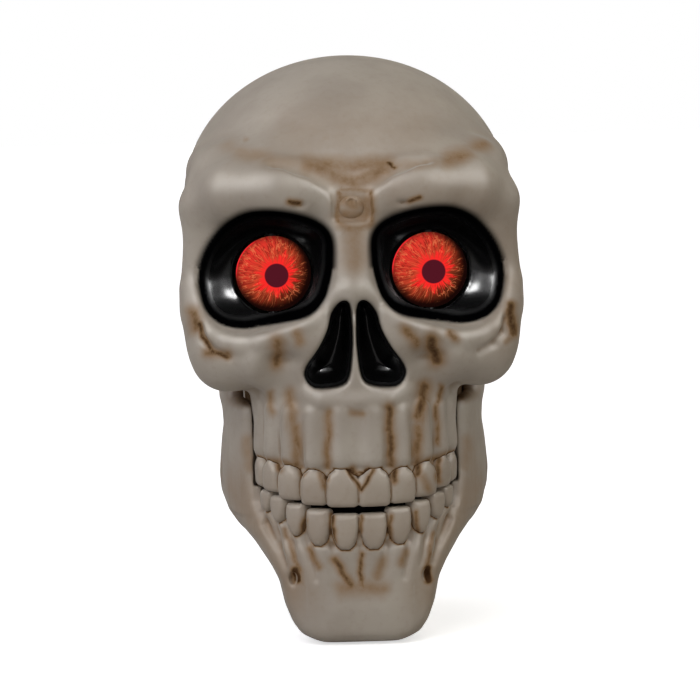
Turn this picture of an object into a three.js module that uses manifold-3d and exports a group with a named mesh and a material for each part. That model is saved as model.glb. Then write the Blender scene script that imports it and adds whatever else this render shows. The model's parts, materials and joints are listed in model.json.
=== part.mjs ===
// Animated table-top skull ornament. The lower jaw stands on the table with a battery base behind the chin,
// and the upper skull rocks back on two hinge pins to open the mouth. Both eyes turn together on geared pins.
// Millimetres, +Z up, the face looks along -Y, and the table is z = 0.
import * as THREE from 'three';
import { mergeVertices } from 'three/addons/utils/BufferGeometryUtils.js';
import Module from 'manifold-3d';

const kernel = await Module();
kernel.setup();

const DEGREE = Math.PI / 180;
const WELD = 1e-4;
const SIDES = [-1, 1];
const FAR = 200; // longer than any cut needs to be

// Fits and walls
const GAP = 0.3;
const WALL = 2.6;
const JAW_WALL = 4;

// Upper skull
const SKULL_HEIGHT = 198;
const CRANIUM_Y = 8;
const CRANIUM_Z = 148.6;
const CRANIUM_HALF_WIDTH = 57;
const CRANIUM_HALF_LENGTH = 68;
const CRANIUM_DROP = 60;
const FLOOR_Z = 74;
const SEAM_Y = 26;
const BOX_MIDDLE_Y = 2.5;
const CAST_CENTRE = [0, -6, 116];
const SKIN_FACETS = [52, 38]; // round the upright axis and from pole to pole
const LINING_FACETS = [24, 18];
const SKIN_MARGIN = 0.6; // the inner skin has longer facets, which would thin the wall in hollows

// Hinge between jaw and upper skull
const HINGE_Y = 14;
const HINGE_Z = 93;
const PIN_RADIUS = 2.2;
const CONDYLE_RADIUS = 9;
const RAMUS_INNER = 38;
const RAMUS_OUTER = 46.8;
const RAMUS_FRONT_EDGE = 37.3; // the front of each branch is thicker and hides the gap beside the upper jaw
const RAMUS_FOOT_EDGE = 26; // lower down it also reaches in behind the last teeth
const MOUTH_EDGE = 16.3; // and further in below the bite
const BUSHING_RADIUS = 4.2;
const BUSHING_LENGTH = 4;

// Eyes and sockets
const EYE_X = 26.8;
const EYE_Y = -32;
const EYE_Z = 124.3;
const EYE_RADIUS = 12.5;
const EYE_WALL = 1.4;
const EYE_YAW = 5.7 * DEGREE;
const EYE_SPLIT = -2.6;
const EYE_PIN_RADIUS = 2;
const SOCKET_HALF_WIDTH = 23.2;
const SOCKET_HALF_HEIGHT = 21.3;
const SOCKET_DEPTH = 15;
const SOCKET_MOUTH_Y = -50;

// Teeth stand on two circular arches
const ARCH_Y = -35;
const ARCH_REAR_SQUEEZE = 2.2;
const UPPER_ARCH_RADIUS = 34.2;
const LOWER_ARCH_RADIUS = 33.4;
const TOOTH_DEPTH = 6.5;

// Base block, cells and drive
const FOOT_HEIGHT = 1.2;
const BASE_FRONT = -45;
const BASE_HALF_WIDTH = 18.4;
const BASE_FLAT_HALF_WIDTH = 16.5;
const BASE_TOP = 25.2;
const BASE_WALL = 2;
const DECK_THICKNESS = 2.8;
const DECK_FRONT = -54;
const CELL_RADIUS = 7.25;
const CELL_LENGTH = 50.5;
const CONTACT_ROOM = 6;
const BAY_FRONT = -16;
const REAR_ROOM = 9.5; // for the door screw and the switch behind the cells
const SECTOR_X = 4;
const SECTOR_RADIUS = 40;
const SECTOR_THICKNESS = 5;
const DRIVE_MODULE = 1;
const DRIVE_PINION_TEETH = 10;
const WHEEL_MODULE = 0.8;
const WHEEL_TEETH = 28;
const MOTOR_PINION_TEETH = 8;
const MOTOR_RADIUS = 7.7;
const MOTOR_LENGTH = 18;
const EYE_GEAR_MODULE = 0.8;
const EYE_GEAR_RADIUS = 10.4;
const SPEAKER_RADIUS = 16;
const SPEAKER_Z = 128;
const SPEAKER_DEPTH = 12.2;

const DECK_TOP = BASE_TOP + DECK_THICKNESS;
const BAY_REAR = BAY_FRONT + CELL_LENGTH + CONTACT_ROOM;
const BASE_REAR = BAY_REAR + REAR_ROOM;
const SPEAKER_FACE_Y = CRANIUM_Y + CRANIUM_HALF_LENGTH - 13.3;
const DRIVE_PINION_RADIUS = DRIVE_MODULE * DRIVE_PINION_TEETH / 2;
const AXLE_Z = HINGE_Z - SECTOR_RADIUS - DRIVE_PINION_RADIUS;
const WHEEL_RADIUS = WHEEL_MODULE * WHEEL_TEETH / 2;
const MOTOR_Y = HINGE_Y + WHEEL_RADIUS + WHEEL_MODULE * MOTOR_PINION_TEETH / 2;
const EYE_MIDDLE_RADIUS = EYE_X - EYE_GEAR_RADIUS;

const material = (color, roughness, metalness = 0) =>
  new THREE.MeshStandardMaterial({ color, roughness, metalness });
const bone = material(0x968d80, 0.55);
const darkPlastic = material(0x1b1a1a, 0.35);
const whitePlastic = material(0xd8d4c8, 0.45);
const steel = material(0x9a9ca0, 0.3, 1);
const eyeRed = material(0xb4160e, 0.15);
const ledRed = material(0xff3020, 0.2);
const boardGreen = material(0x1f6b3a, 0.5);
const cellJacket = material(0x2b2f38, 0.35);
const brass = material(0xb8963c, 0.35, 1);
const rubber = material(0x202020, 0.9);
const windowBrown = material(0x8a7458, 0.2);

// Turns a three.js geometry into a solid that can be joined and cut.
function solidOf(geometry) {
  const bare = new THREE.BufferGeometry();
  bare.setAttribute('position', geometry.getAttribute('position'));
  bare.setIndex(geometry.index);
  const welded = mergeVertices(bare, WELD);
  return new kernel.Manifold(new kernel.Mesh({
    numProp: 3,
    vertProperties: new Float32Array(welded.getAttribute('position').array),
    triVerts: new Uint32Array(welded.index.array),
  }));
}

function meshOf(name, solid, look) {
  const made = solid.getMesh();
  const geometry = new THREE.BufferGeometry();
  geometry.setAttribute('position', new THREE.BufferAttribute(made.vertProperties, 3));
  geometry.setIndex(new THREE.BufferAttribute(made.triVerts, 1));
  geometry.computeVertexNormals();
  const mesh = new THREE.Mesh(geometry, look);
  mesh.name = name;
  return mesh;
}

const joined = (solids) => solids.reduce((all, next) => all.add(next));
const without = (body, cuts) => cuts.reduce((left, cut) => left.subtract(cut), body);

function box([x0, x1], [y0, y1], [z0, z1]) {
  const geometry = new THREE.BoxGeometry(x1 - x0, y1 - y0, z1 - z0);
  geometry.translate((x0 + x1) / 2, (y0 + y1) / 2, (z0 + z1) / 2);
  return solidOf(geometry);
}

function rod(from, to, radius, sides = 12) {
  const start = new THREE.Vector3(...from);
  const along = new THREE.Vector3(...to).sub(start);
  const geometry = new THREE.CylinderGeometry(radius, radius, along.length(), sides);
  const turn = new THREE.Quaternion().setFromUnitVectors(
    new THREE.Vector3(0, 1, 0), along.clone().normalize());
  geometry.applyQuaternion(turn);
  geometry.translate(...start.addScaledVector(along, 0.5).toArray());
  return solidOf(geometry);
}

function ellipsoid(centre, radii, columns = 18, rows = 10) {
  const geometry = new THREE.SphereGeometry(1, columns, rows);
  geometry.rotateX(Math.PI / 2);
  geometry.scale(...radii);
  geometry.translate(...centre);
  return solidOf(geometry);
}

const shapeOf = (points) => new THREE.Shape(points.map(([u, v]) => new THREE.Vector2(u, v)));

function extruded(points, length, axes, origin) {
  const geometry = new THREE.ExtrudeGeometry(shapeOf(points), { depth: length, bevelEnabled: false });
  const basis = new THREE.Matrix4().makeBasis(...axes.map((axis) => new THREE.Vector3(...axis)));
  geometry.applyMatrix4(basis.setPosition(...origin));
  return solidOf(geometry);
}

// Prisms whose outline is drawn in (y, z), (x, z) and (x, y).
const prismX = (points, x0, x1) =>
  extruded(points, x1 - x0, [[0, 1, 0], [0, 0, 1], [1, 0, 0]], [x0, 0, 0]);
const prismY = (points, y0, y1) =>
  extruded(points, y1 - y0, [[1, 0, 0], [0, 0, 1], [0, -1, 0]], [0, y1, 0]);
const prismZ = (points, z0, z1) =>
  extruded(points, z1 - z0, [[1, 0, 0], [0, 1, 0], [0, 0, 1]], [0, 0, z0]);

// An outline given for x >= 0 from bottom to top, closed by its mirror image.
const mirrored = (half) => [...half, ...half.map(([u, v]) => [-u, v]).reverse()];

// Distance fields that describe the bone
const smoothUnion = (a, b, blend) => {
  const overlap = Math.max(blend - Math.abs(a - b), 0) / blend;
  return Math.min(a, b) - overlap * overlap * blend / 4;
};

function ellipsoidField(point, centre, radii) {
  const scaled = point.map((value, axis) => (value - centre[axis]) / radii[axis]);
  const near = Math.hypot(...scaled);
  const slope = Math.hypot(...scaled.map((value, axis) => value / radii[axis]));
  return slope > 0 ? near * (near - 1) / slope : -Math.min(...radii);
}

function capsuleField(point, from, to, radius) {
  const along = to.map((value, axis) => value - from[axis]);
  const reach = point.map((value, axis) => value - from[axis]);
  const dot = (a, b) => a[0] * b[0] + a[1] * b[1] + a[2] * b[2];
  const share = THREE.MathUtils.clamp(dot(reach, along) / dot(along, along), 0, 1);
  return Math.hypot(...reach.map((value, axis) => value - along[axis] * share)) - radius;
}

function roundBoxField(point, centre, half, rounding) {
  const out = point.map((value, axis) => Math.abs(value - centre[axis]) - half[axis] + rounding);
  const outside = Math.hypot(...out.map((value) => Math.max(value, 0)));
  return outside + Math.min(Math.max(...out), 0) - rounding;
}

function archField([x, y, z], radius, bottom, top, rounding) {
  const back = y > ARCH_Y ? ARCH_REAR_SQUEEZE : 1;
  const sideways = Math.hypot(x, (y - ARCH_Y) * back) - radius + rounding;
  const upright = Math.abs(z - (bottom + top) / 2) - (top - bottom) / 2 + rounding;
  const outside = Math.hypot(Math.max(sideways, 0), Math.max(upright, 0));
  return outside + Math.min(Math.max(sideways, upright), 0) - rounding;
}

// Ridges of the face, each a chain of points with a radius and a blend, drawn for x >= 0.
const RIDGES = [
  { name: 'brow', radius: 7.2, blend: 8,
    points: [[8, -58, 151], [24, -58, 154.5], [40, -51, 154], [51, -38, 149.5]] },
  { name: 'outer socket rim', radius: 5.6, blend: 7, points: [[50.5, -39, 147], [52.8, -35, 122]] },
  { name: 'cheek bone', radius: 11.4, blend: 8, points: [[47.2, -40, 112], [43.5, -41, 95.5]] },
  { name: 'lower socket rim', radius: 7.5, blend: 9, points: [[46, -45, 100], [28, -55, 98], [15, -60, 105]] },
  { name: 'nasal bones', radius: 7, blend: 8, points: [[0, -57, 147], [0, -64, 121]] },
  { name: 'side of nose', radius: 5, blend: 8, points: [[8, -58, 134], [16, -61, 106]] },
  { name: 'mastoid', radius: 7.5, blend: 12, points: [[37, 37, 100], [35, 36, 88]] },
];

// Masses that the ridges grow from, each a rounded block drawn for x >= 0.
const BLOCKS = [
  { name: 'skull base', centre: [0, 12, FLOOR_Z + 17], half: [RAMUS_INNER - 2 * GAP, 43, 17],
    rounding: 3, blend: 18 },
  { name: 'mid face', centre: [0, -29, 124.5], half: [51, 20, 30.5], rounding: 13, blend: 10 },
  { name: 'cheek arch', centre: [26.5, -8, 110], half: [28, 31, 9.5], rounding: 7, blend: 6 },
];

// Puffy lobes over the sockets, each an ellipsoid drawn for x >= 0.
const LOBES = [
  { name: 'brow lobe', centre: [22, -57, 152.5], radii: [16, 10.5, 8], blend: 5 },
];

function skullField(point) {
  const p = [Math.abs(point[0]), point[1], point[2]];
  const tall = p[2] > CRANIUM_Z ? SKULL_HEIGHT - CRANIUM_Z : CRANIUM_DROP;
  const centre = [0, CRANIUM_Y, CRANIUM_Z];
  let field = ellipsoidField(p, centre, [CRANIUM_HALF_WIDTH, CRANIUM_HALF_LENGTH, tall]);
  for (const { centre: at, half, rounding, blend } of BLOCKS) {
    field = smoothUnion(field, roundBoxField(p, at, half, rounding), blend);
  }
  field = smoothUnion(field, archField(p, UPPER_ARCH_RADIUS, 59, 112, 5), 8);
  for (const { radius, blend, points } of RIDGES) {
    const links = points.slice(1).map((to, i) => capsuleField(p, points[i], to, radius));
    field = smoothUnion(field, Math.min(...links), blend);
  }
  for (const { centre: at, radii, blend } of LOBES) {
    field = smoothUnion(field, ellipsoidField(p, at, radii), blend);
  }
  return field;
}

// Walks out from inside until the field reaches the level, then halves the step.
function reachOf(origin, direction, level) {
  const at = (reach) => skullField(origin.map((value, axis) => value + direction[axis] * reach));
  let outer = 4;
  while (at(outer) < level && outer < FAR) outer += 2.5;
  let inner = outer - 2.5;
  for (let step = 0; step < 14; step += 1) {
    const middle = (inner + outer) / 2;
    if (at(middle) < level) inner = middle;
    else outer = middle;
  }
  return (inner + outer) / 2;
}

function skullSkin(level, columns, rows) {
  const geometry = new THREE.SphereGeometry(1, columns, rows);
  geometry.rotateX(Math.PI / 2);
  const position = geometry.getAttribute('position');
  for (let i = 0; i < position.count; i += 1) {
    const direction = [position.getX(i), position.getY(i), position.getZ(i)];
    const reach = reachOf(CAST_CENTRE, direction, level);
    position.setXYZ(i, ...direction.map((value, axis) => CAST_CENTRE[axis] + value * reach));
  }
  return solidOf(geometry);
}

// Where a line along Y meets the skin, in front (-1) or behind (1).
const skinY = (x, z, way) => CRANIUM_Y + way * reachOf([x, CRANIUM_Y, z], [0, way, 0], 0);

// Teeth from the middle of the row outwards: width, and heights of the edge and of the gum line.
const UPPER_TEETH = [
  { width: 11.4, edge: 47.4, gum: 60 },
  { width: 9.8, edge: 48, gum: 60 },
  { width: 10.4, edge: 49.4, gum: 61 },
  { width: 10, edge: 51.5, gum: 62 },
  { width: 9, edge: 52.4, gum: 63 },
];
const LOWER_TEETH = [
  { width: 10, edge: 45, gum: 32.6 },
  { width: 9.4, edge: 46.8, gum: 33.8 },
  { width: 8.8, edge: 47.6, gum: 37 },
  { width: 8.8, edge: 49, gum: 41 },
  { width: 9.2, edge: 51, gum: 44 },
];

function tooth({ width, edge, gum }, angle, radius) {
  const toGum = Math.sign(gum - edge);
  const half = width / 2 - GAP / 2;
  const outline = mirrored([[half - 1.8, edge], [half, edge + 2 * toGum], [half - 0.8, gum + 4 * toGum]]);
  if (toGum < 0) outline.reverse();
  const [out, along] = [[Math.sin(angle), -Math.cos(angle), 0], [Math.cos(angle), Math.sin(angle), 0]];
  const back = radius - TOOTH_DEPTH;
  return extruded(outline, TOOTH_DEPTH, [along, [0, 0, 1], out], [out[0] * back, ARCH_Y + out[1] * back, 0]);
}

// The branches of the lower jaw stay clear of the upper jaw from the edge of its last tooth upwards.
const UPPER_JAW_LOW = Math.max(...UPPER_TEETH.map(({ edge }) => edge)) - GAP;

function toothRow(teeth, radius) {
  const row = [];
  let arc = 0;
  for (const one of teeth) {
    const angle = (arc + one.width / 2) / radius;
    SIDES.forEach((side) => row.push(tooth(one, side * angle, radius)));
    arc += one.width;
  }
  return joined(row);
}

// Eye sockets: the outline of the opening for x >= 0, and a rounded cup behind it.
const SOCKET_CENTRE = [29.3, EYE_Z + 1.7];
const SOCKET_OUTLINE = [[6.5, 131], [7.5, 124], [10, 117.2], [15, 112.2], [23.5, 109.2], [31.5, 106.7],
  [37.5, 104.7], [45, 106.2], [50, 111.2], [52, 119.5], [52.3, 126], [49, 135.2], [42.5, 143.2], [34, 147.5],
  [23, 147.5], [12, 144], [7, 139]];

function socketSolid(side, grow) {
  const [middleX, middleZ] = SOCKET_CENTRE;
  const share = 1 + grow / SOCKET_HALF_WIDTH;
  const outline = SOCKET_OUTLINE.map(([x, z]) =>
    [side * (middleX + (x - middleX) * share), middleZ + (z - middleZ) * share]);
  const mouth = prismY(side > 0 ? outline : outline.reverse(), -FAR, SOCKET_MOUTH_Y);
  const cup = ellipsoid([side * middleX, SOCKET_MOUTH_Y, middleZ],
    [SOCKET_HALF_WIDTH + grow, SOCKET_DEPTH + grow, SOCKET_HALF_HEIGHT + grow]);
  return mouth.add(cup);
}

const NOSE = [[2.6, 90], [5, 88], [12, 86.5], [17.2, 90], [17.8, 93.5], [14.5, 97.5], [11.5, 103], [8.5, 112.5],
  [4.6, 117.4], [2.2, 114], [1.2, 108]];
const NOSE_BACK = -50;

function noseHoles() {
  return joined(SIDES.map((side) => {
    const outline = NOSE.map(([x, z]) => [side * x, z]);
    return prismY(side > 0 ? outline : outline.reverse(), -FAR, NOSE_BACK);
  }));
}

const SHELL_SCREWS = [[33, 168], [26.5, 82]];
const BRACKET_POSTS = [[12, 153.5], [9, 101]];
const POST_RADIUS = 3.6;
const BRACKET_Y = -18;
const SENSOR_Z = 148.8;
const SENSOR_RADIUS = 4.3;
const SENSOR_BOSS_DEPTH = 9;
const everyScrew = SHELL_SCREWS.flatMap(([x, z]) => SIDES.map((side) => [side * x, z]));
const everyPost = BRACKET_POSTS.flatMap(([x, z]) => SIDES.map((side) => [side * x, z]));

// Space in which the branches of the jaw swing beside the skull base, and the wall that lines it.
function ramusPocket(side, grow) {
  const xs = [side * (RAMUS_INNER - GAP - grow), side * (RAMUS_OUTER + GAP + grow)].sort((a, b) => a - b);
  const round = rod([xs[0], HINGE_Y, HINGE_Z], [xs[1], HINGE_Y, HINGE_Z], CONDYLE_RADIUS + 1 + grow, 24);
  const block = box(xs, [-24 - grow, HINGE_Y + CONDYLE_RADIUS + 1 + grow], [40, HINGE_Z + 4 + grow]);
  return round.add(block);
}

function bushingBoss(side) {
  const inner = RAMUS_INNER - GAP;
  return rod([side * (inner - BUSHING_LENGTH - WALL), HINGE_Y, HINGE_Z], [side * inner, HINGE_Y, HINGE_Z],
    BUSHING_RADIUS + GAP + 2);
}

const SECTOR_PAD_TOP = FLOOR_Z + WALL + 1.4;
const SECTOR_FRONT_ANGLE = -12 * DEGREE;
const SECTOR_REAR_ANGLE = 24 * DEGREE;

function skullBody() {
  const outer = skullSkin(0, ...SKIN_FACETS);
  const inner = skullSkin(-WALL - SKIN_MARGIN, ...LINING_FACETS);
  const pad = box([SECTOR_X - 13, SECTOR_X + 13], [HINGE_Y - 13, SEAM_Y], [FLOOR_Z, SECTOR_PAD_TOP]);
  const noseCup = box([-21, 21], [-FAR, NOSE_BACK + WALL], [83.5, 121]);
  const posts = everyPost.map(([x, z]) => rod([x, -FAR, z], [x, BRACKET_Y - GAP, z], POST_RADIUS, 8));
  const sensorFront = skinY(0, SENSOR_Z, -1);
  const sensorBoss = rod([0, sensorFront - 9, SENSOR_Z], [0, sensorFront + SENSOR_BOSS_DEPTH, SENSOR_Z],
    SENSOR_RADIUS + GAP + 2);
  const screwBosses = everyScrew.map(([x, z]) => rod([x, SEAM_Y - 14, z], [x, FAR, z], 4.2, 8));
  const ribs = everyScrew.map(([x, z]) =>
    box([Math.min(x, 2 * x), Math.max(x, 2 * x)], [SEAM_Y - 14, SEAM_Y - 4], [z - 1.2, z + 1.2]));
  const speakerTube = rod([0, SPEAKER_FACE_Y - 6.7, SPEAKER_Z], [0, FAR, SPEAKER_Z], SPEAKER_RADIUS + WALL, 16);
  const linings = SIDES.flatMap((side) =>
    [socketSolid(side, WALL), ramusPocket(side, WALL), bushingBoss(side)]);
  const fittings = joined([pad, noseCup, ...posts, sensorBoss, ...screwBosses, ...ribs, speakerTube,
    ...linings]);
  const body = outer.subtract(inner).add(fittings.intersect(outer));
  return without(body, [...frontCuts(sensorFront), ...rearCuts(inner)]);
}

function frontCuts(sensorFront) {
  const sockets = SIDES.map((side) => socketSolid(side, 0));
  const eyeHoles = SIDES.map((side) =>
    rod([side * EYE_X, EYE_Y - 9, EYE_Z], [side * EYE_X, EYE_Y + 14, EYE_Z], EYE_RADIUS + 2 * GAP, 20));
  const pinReliefs = SIDES.map((side) => rod([side * EYE_X, EYE_Y, EYE_Z - EYE_PIN_TOP],
    [side * EYE_X, EYE_Y, EYE_Z + EYE_PIN_TOP], EYE_PIN_RADIUS + 2 * GAP, 12));
  const pockets = SIDES.map((side) => ramusPocket(side, 0));
  const bushings = SIDES.map((side) =>
    rod([side * (RAMUS_INNER - BUSHING_LENGTH - GAP), HINGE_Y, HINGE_Z], [side * RAMUS_INNER, HINGE_Y, HINGE_Z],
      BUSHING_RADIUS + GAP));
  const pinHoles = SIDES.map((side) =>
    rod([side * 20, HINGE_Y, HINGE_Z], [side * RAMUS_INNER, HINGE_Y, HINGE_Z], PIN_RADIUS + GAP));
  const sensor = rod([0, sensorFront - 9, SENSOR_Z], [0, sensorFront + FAR / 10, SENSOR_Z],
    SENSOR_RADIUS + GAP);
  const pilots = everyPost.map(([x, z]) => rod([x, BRACKET_Y - 11, z], [x, 0, z], SCREW_RADIUS + 0.1, 8));
  const neckHalf = SECTOR_THICKNESS / 2 + GAP;
  const neck = prismX(sectorNeck(1), SECTOR_X - neckHalf, SECTOR_X + neckHalf);
  return [...sockets, noseHoles(), ...eyeHoles, ...pinReliefs, ...pockets, ...bushings, ...pinHoles, sensor,
    ...pilots, neck];
}

// Holes at the back: speaker seat and grille, and the counterbored screws that close the two halves.
function rearCuts(inner) {
  const seat = rod([0, SPEAKER_FACE_Y - SPEAKER_DEPTH - GAP, SPEAKER_Z],
    [0, SPEAKER_FACE_Y + GAP, SPEAKER_Z], SPEAKER_RADIUS + 2 * GAP, 20);
  const throat = rod([0, SPEAKER_FACE_Y - 2.7, SPEAKER_Z], [0, FAR, SPEAKER_Z],
    SPEAKER_RADIUS - 2, 16).intersect(inner);
  const rings = [[0, 1], [5, 6], [10, 12]];
  const grille = rings.flatMap(([radius, count]) => Array.from({ length: count }, (_, i) => {
    const angle = 2 * Math.PI * i / count;
    const [x, z] = [radius * Math.cos(angle), SPEAKER_Z + radius * Math.sin(angle)];
    return rod([x, SPEAKER_FACE_Y - 0.7, z], [x, FAR, z], 1.4, 6);
  }));
  const shanks = everyScrew.map(([x, z]) =>
    rod([x, SEAM_Y - 10, z], [x, SEAM_Y + 20, z], SCREW_RADIUS + GAP, 10));
  const heads = everyScrew.map(([x, z]) => rod([x, SEAM_Y + 4, z], [x, FAR, z], SCREW_HEAD_RADIUS + GAP, 12));
  return [seat, throat, ...grille, ...shanks, ...heads];
}

const SCREW_RADIUS = 1.5;
const SCREW_HEAD_RADIUS = 2.7;
const SCREW_HEAD_HEIGHT = 1.8;

// A slotted screw, its head at the origin and its shank along +Z.
function screwSolid(length) {
  const head = rod([0, 0, -SCREW_HEAD_HEIGHT], [0, 0, 0], SCREW_HEAD_RADIUS, 10);
  const shank = rod([0, 0, -0.1], [0, 0, length], SCREW_RADIUS, 6);
  const slot = box([-FAR, FAR], [-0.4, 0.4], [-SCREW_HEAD_HEIGHT - 1, -SCREW_HEAD_HEIGHT + 0.8]);
  return head.add(shank).subtract(slot);
}

function placedScrew(name, length, position, pointing) {
  const mesh = meshOf(name, screwSolid(length), steel);
  mesh.quaternion.setFromUnitVectors(new THREE.Vector3(0, 0, 1), new THREE.Vector3(...pointing));
  mesh.position.set(...position);
  return mesh;
}

function skullShells() {
  const body = skullBody();
  const front = body.intersect(box([-FAR, FAR], [-FAR, SEAM_Y - GAP / 2], [0, 2 * FAR]));
  const rear = body.intersect(box([-FAR, FAR], [SEAM_Y + GAP / 2, FAR], [0, 2 * FAR]));
  const face = front.add(toothRow(UPPER_TEETH, UPPER_ARCH_RADIUS));
  return [meshOf('face_shell', face, bone), meshOf('rear_shell', rear, bone)];
}

function shellScrews() {
  return everyScrew.map(([x, z], i) =>
    placedScrew(`shell_screw_${i + 1}`, 12, [x, SEAM_Y + 4 + GAP, z], [0, -1, 0]));
}

// The jaw is what its side view, front view and plan have in common.
const JAW_FRONT_VIEW = [[12.5, 0], [20.3, 3.4], [23.2, 7.3], [25.6, 13], [27.4, 21], [30, 25.7], [35.2, 33],
  [39.2, 37.2], [43, 41.7], [45.6, 48], [46.2, 54], [45, 65], [44, 71], [44.6, 77], [RAMUS_OUTER, 82],
  [RAMUS_OUTER, 130]];
const JAW_PLAN = [[8, -68.4], [17, -64.5], [25, -58], [31, -50], [38, -36], [44, -22], [49, -8], [49, 60]];
const JAW_SIDE_VIEW = [[-57, 0], [-64, 0], [-67, 4], [-68.6, 12], [-67.3, 22], [-67, 34], [-55, 35.5],
  [-46, 40], [-40, 47], [-37, 56], [-36, 68], [-32, 74], [-22, 78], [-19, 88], [-14, 90], [-6, 82], [5.4, 90]];
const JAW_REAR_EDGE = [[22.6, 90], [20, 75], [14, 55], [6, 44], [-20, 26], [-42, 10], [-50, 3]];
const CHIN_FLOOR = 3;

function jawHollow(inset) {
  const front = JAW_FRONT_VIEW.map(([x, z]) => [x - inset, z]);
  const plan = JAW_PLAN.map(([x, y]) => [Math.max(x - inset, 2), y + inset * 0.8]);
  const across = prismY(mirrored(front), -FAR, FAR).intersect(box([-FAR, FAR], [-FAR, FAR], [CHIN_FLOOR, FAR]));
  return across.intersect(prismZ(mirrored(plan), 0, FAR));
}

function jawOuter() {
  const profile = [...JAW_SIDE_VIEW, ...JAW_REAR_EDGE].reverse();
  const side = prismX(profile, -FAR, FAR).add(
    rod([-FAR, HINGE_Y, HINGE_Z], [FAR, HINGE_Y, HINGE_Z], CONDYLE_RADIUS, 24));
  return side.intersect(prismY(mirrored(JAW_FRONT_VIEW), -FAR, FAR))
    .intersect(prismZ(mirrored(JAW_PLAN), -1, FAR));
}

// Thicker stretches of each branch hide the gaps beside the upper jaw. Each has how far in it reaches, its depth
// and its height.
const BRANCH_FILLS = [
  { name: 'front edge', inner: RAMUS_FRONT_EDGE, depth: [-42, -18], height: [42, FLOOR_Z - 1] },
  { name: 'foot', inner: RAMUS_FOOT_EDGE, depth: [-23, -17], height: [DECK_TOP + 2, FLOOR_Z - 3] },
  { name: 'mouth corner', inner: MOUTH_EDGE, depth: [-23, -17], height: [DECK_TOP + 2, 56] },
  { name: 'branch', inner: RAMUS_INNER, depth: [-42, -8], height: [42, HINGE_Z + 3] },
];

function branchFills(outer) {
  const fills = BRANCH_FILLS.flatMap(({ inner, depth, height }) => SIDES.map((side) => {
    const width = [side * inner, side * RAMUS_OUTER].sort((a, b) => a - b);
    return box(width, depth, height);
  }));
  return joined(fills).intersect(outer);
}

const DECK_SCREWS = [[21, -38], [21, -26]];
const everyDeckScrew = DECK_SCREWS.flatMap(([x, y]) => SIDES.map((side) => [side * x, y]));

function jawShell() {
  const outer = jawOuter();
  const throat = box([-RAMUS_INNER, RAMUS_INNER], [-24, FAR], [40, FAR]);
  const upperJawRoom = box([-RAMUS_FRONT_EDGE, RAMUS_FRONT_EDGE], [-FAR, FAR], [UPPER_JAW_LOW, FAR]);
  const bosses = joined(everyDeckScrew.map(([x, y]) => {
    const xs = [x, x + Math.sign(x) * 30].sort((a, b) => a - b);
    return box(xs, [y - 4, y + 4], [DECK_TOP + GAP, DECK_TOP + 9])
      .add(rod([x, y, DECK_TOP + GAP], [x, y, DECK_TOP + 9], 4, 12));
  })).intersect(outer);
  const pinHoles = SIDES.map((side) => rod([side * 30, HINGE_Y, HINGE_Z],
    [side * (RAMUS_OUTER - 2), HINGE_Y, HINGE_Z], PIN_RADIUS + GAP / 3));
  const pilots = everyDeckScrew.map(([x, y]) =>
    rod([x, y, DECK_TOP - 1], [x, y, DECK_TOP + 8], SCREW_RADIUS + 0.1, 10));
  const bar = without(outer, [jawHollow(JAW_WALL), throat, upperJawRoom]).add(bosses).add(branchFills(outer));
  const teeth = toothRow(LOWER_TEETH, LOWER_ARCH_RADIUS);
  return meshOf('jaw_shell', without(bar.add(teeth), [...pinHoles, ...pilots]), bone);
}

function hingePins() {
  return SIDES.map((side) => {
    const pin = rod([side * (RAMUS_INNER - BUSHING_LENGTH), HINGE_Y, HINGE_Z],
      [side * (RAMUS_OUTER - 2 - GAP), HINGE_Y, HINGE_Z], PIN_RADIUS);
    return meshOf(side < 0 ? 'hinge_pin_left' : 'hinge_pin_right', pin, steel);
  });
}

function hingeBushings() {
  return SIDES.map((side) => {
    const ends = [RAMUS_INNER - BUSHING_LENGTH, RAMUS_INNER - GAP].map((x) => [side * x, HINGE_Y, HINGE_Z]);
    const ring = rod(ends[0], ends[1], BUSHING_RADIUS).subtract(
      rod([side * 20, HINGE_Y, HINGE_Z], [side * 60, HINGE_Y, HINGE_Z], PIN_RADIUS + GAP / 2));
    return meshOf(side < 0 ? 'hinge_bushing_left' : 'hinge_bushing_right', ring, whitePlastic);
  });
}

// Base block with the battery bay, and the deck that closes the jaw from below.
const BAY_HALF_WIDTH = 2 * CELL_RADIUS + 1;
const DOOR_BOTTOM = FOOT_HEIGHT;
const DOOR_THICKNESS = 2;
const CELL_Z = DOOR_BOTTOM + DOOR_THICKNESS + GAP + CELL_RADIUS;
const HOUSING_X = [-23.3, 17];
const HOUSING_Y = [-8, MOTOR_Y + MOTOR_RADIUS + 2.4];

function baseSection(inset) {
  return mirrored([[BASE_FLAT_HALF_WIDTH - inset / 2, FOOT_HEIGHT + inset],
    [BASE_HALF_WIDTH - inset, 6 + inset / 2],
    [BASE_HALF_WIDTH - inset, BASE_TOP - (inset ? GAP : 0)]]);
}

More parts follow.
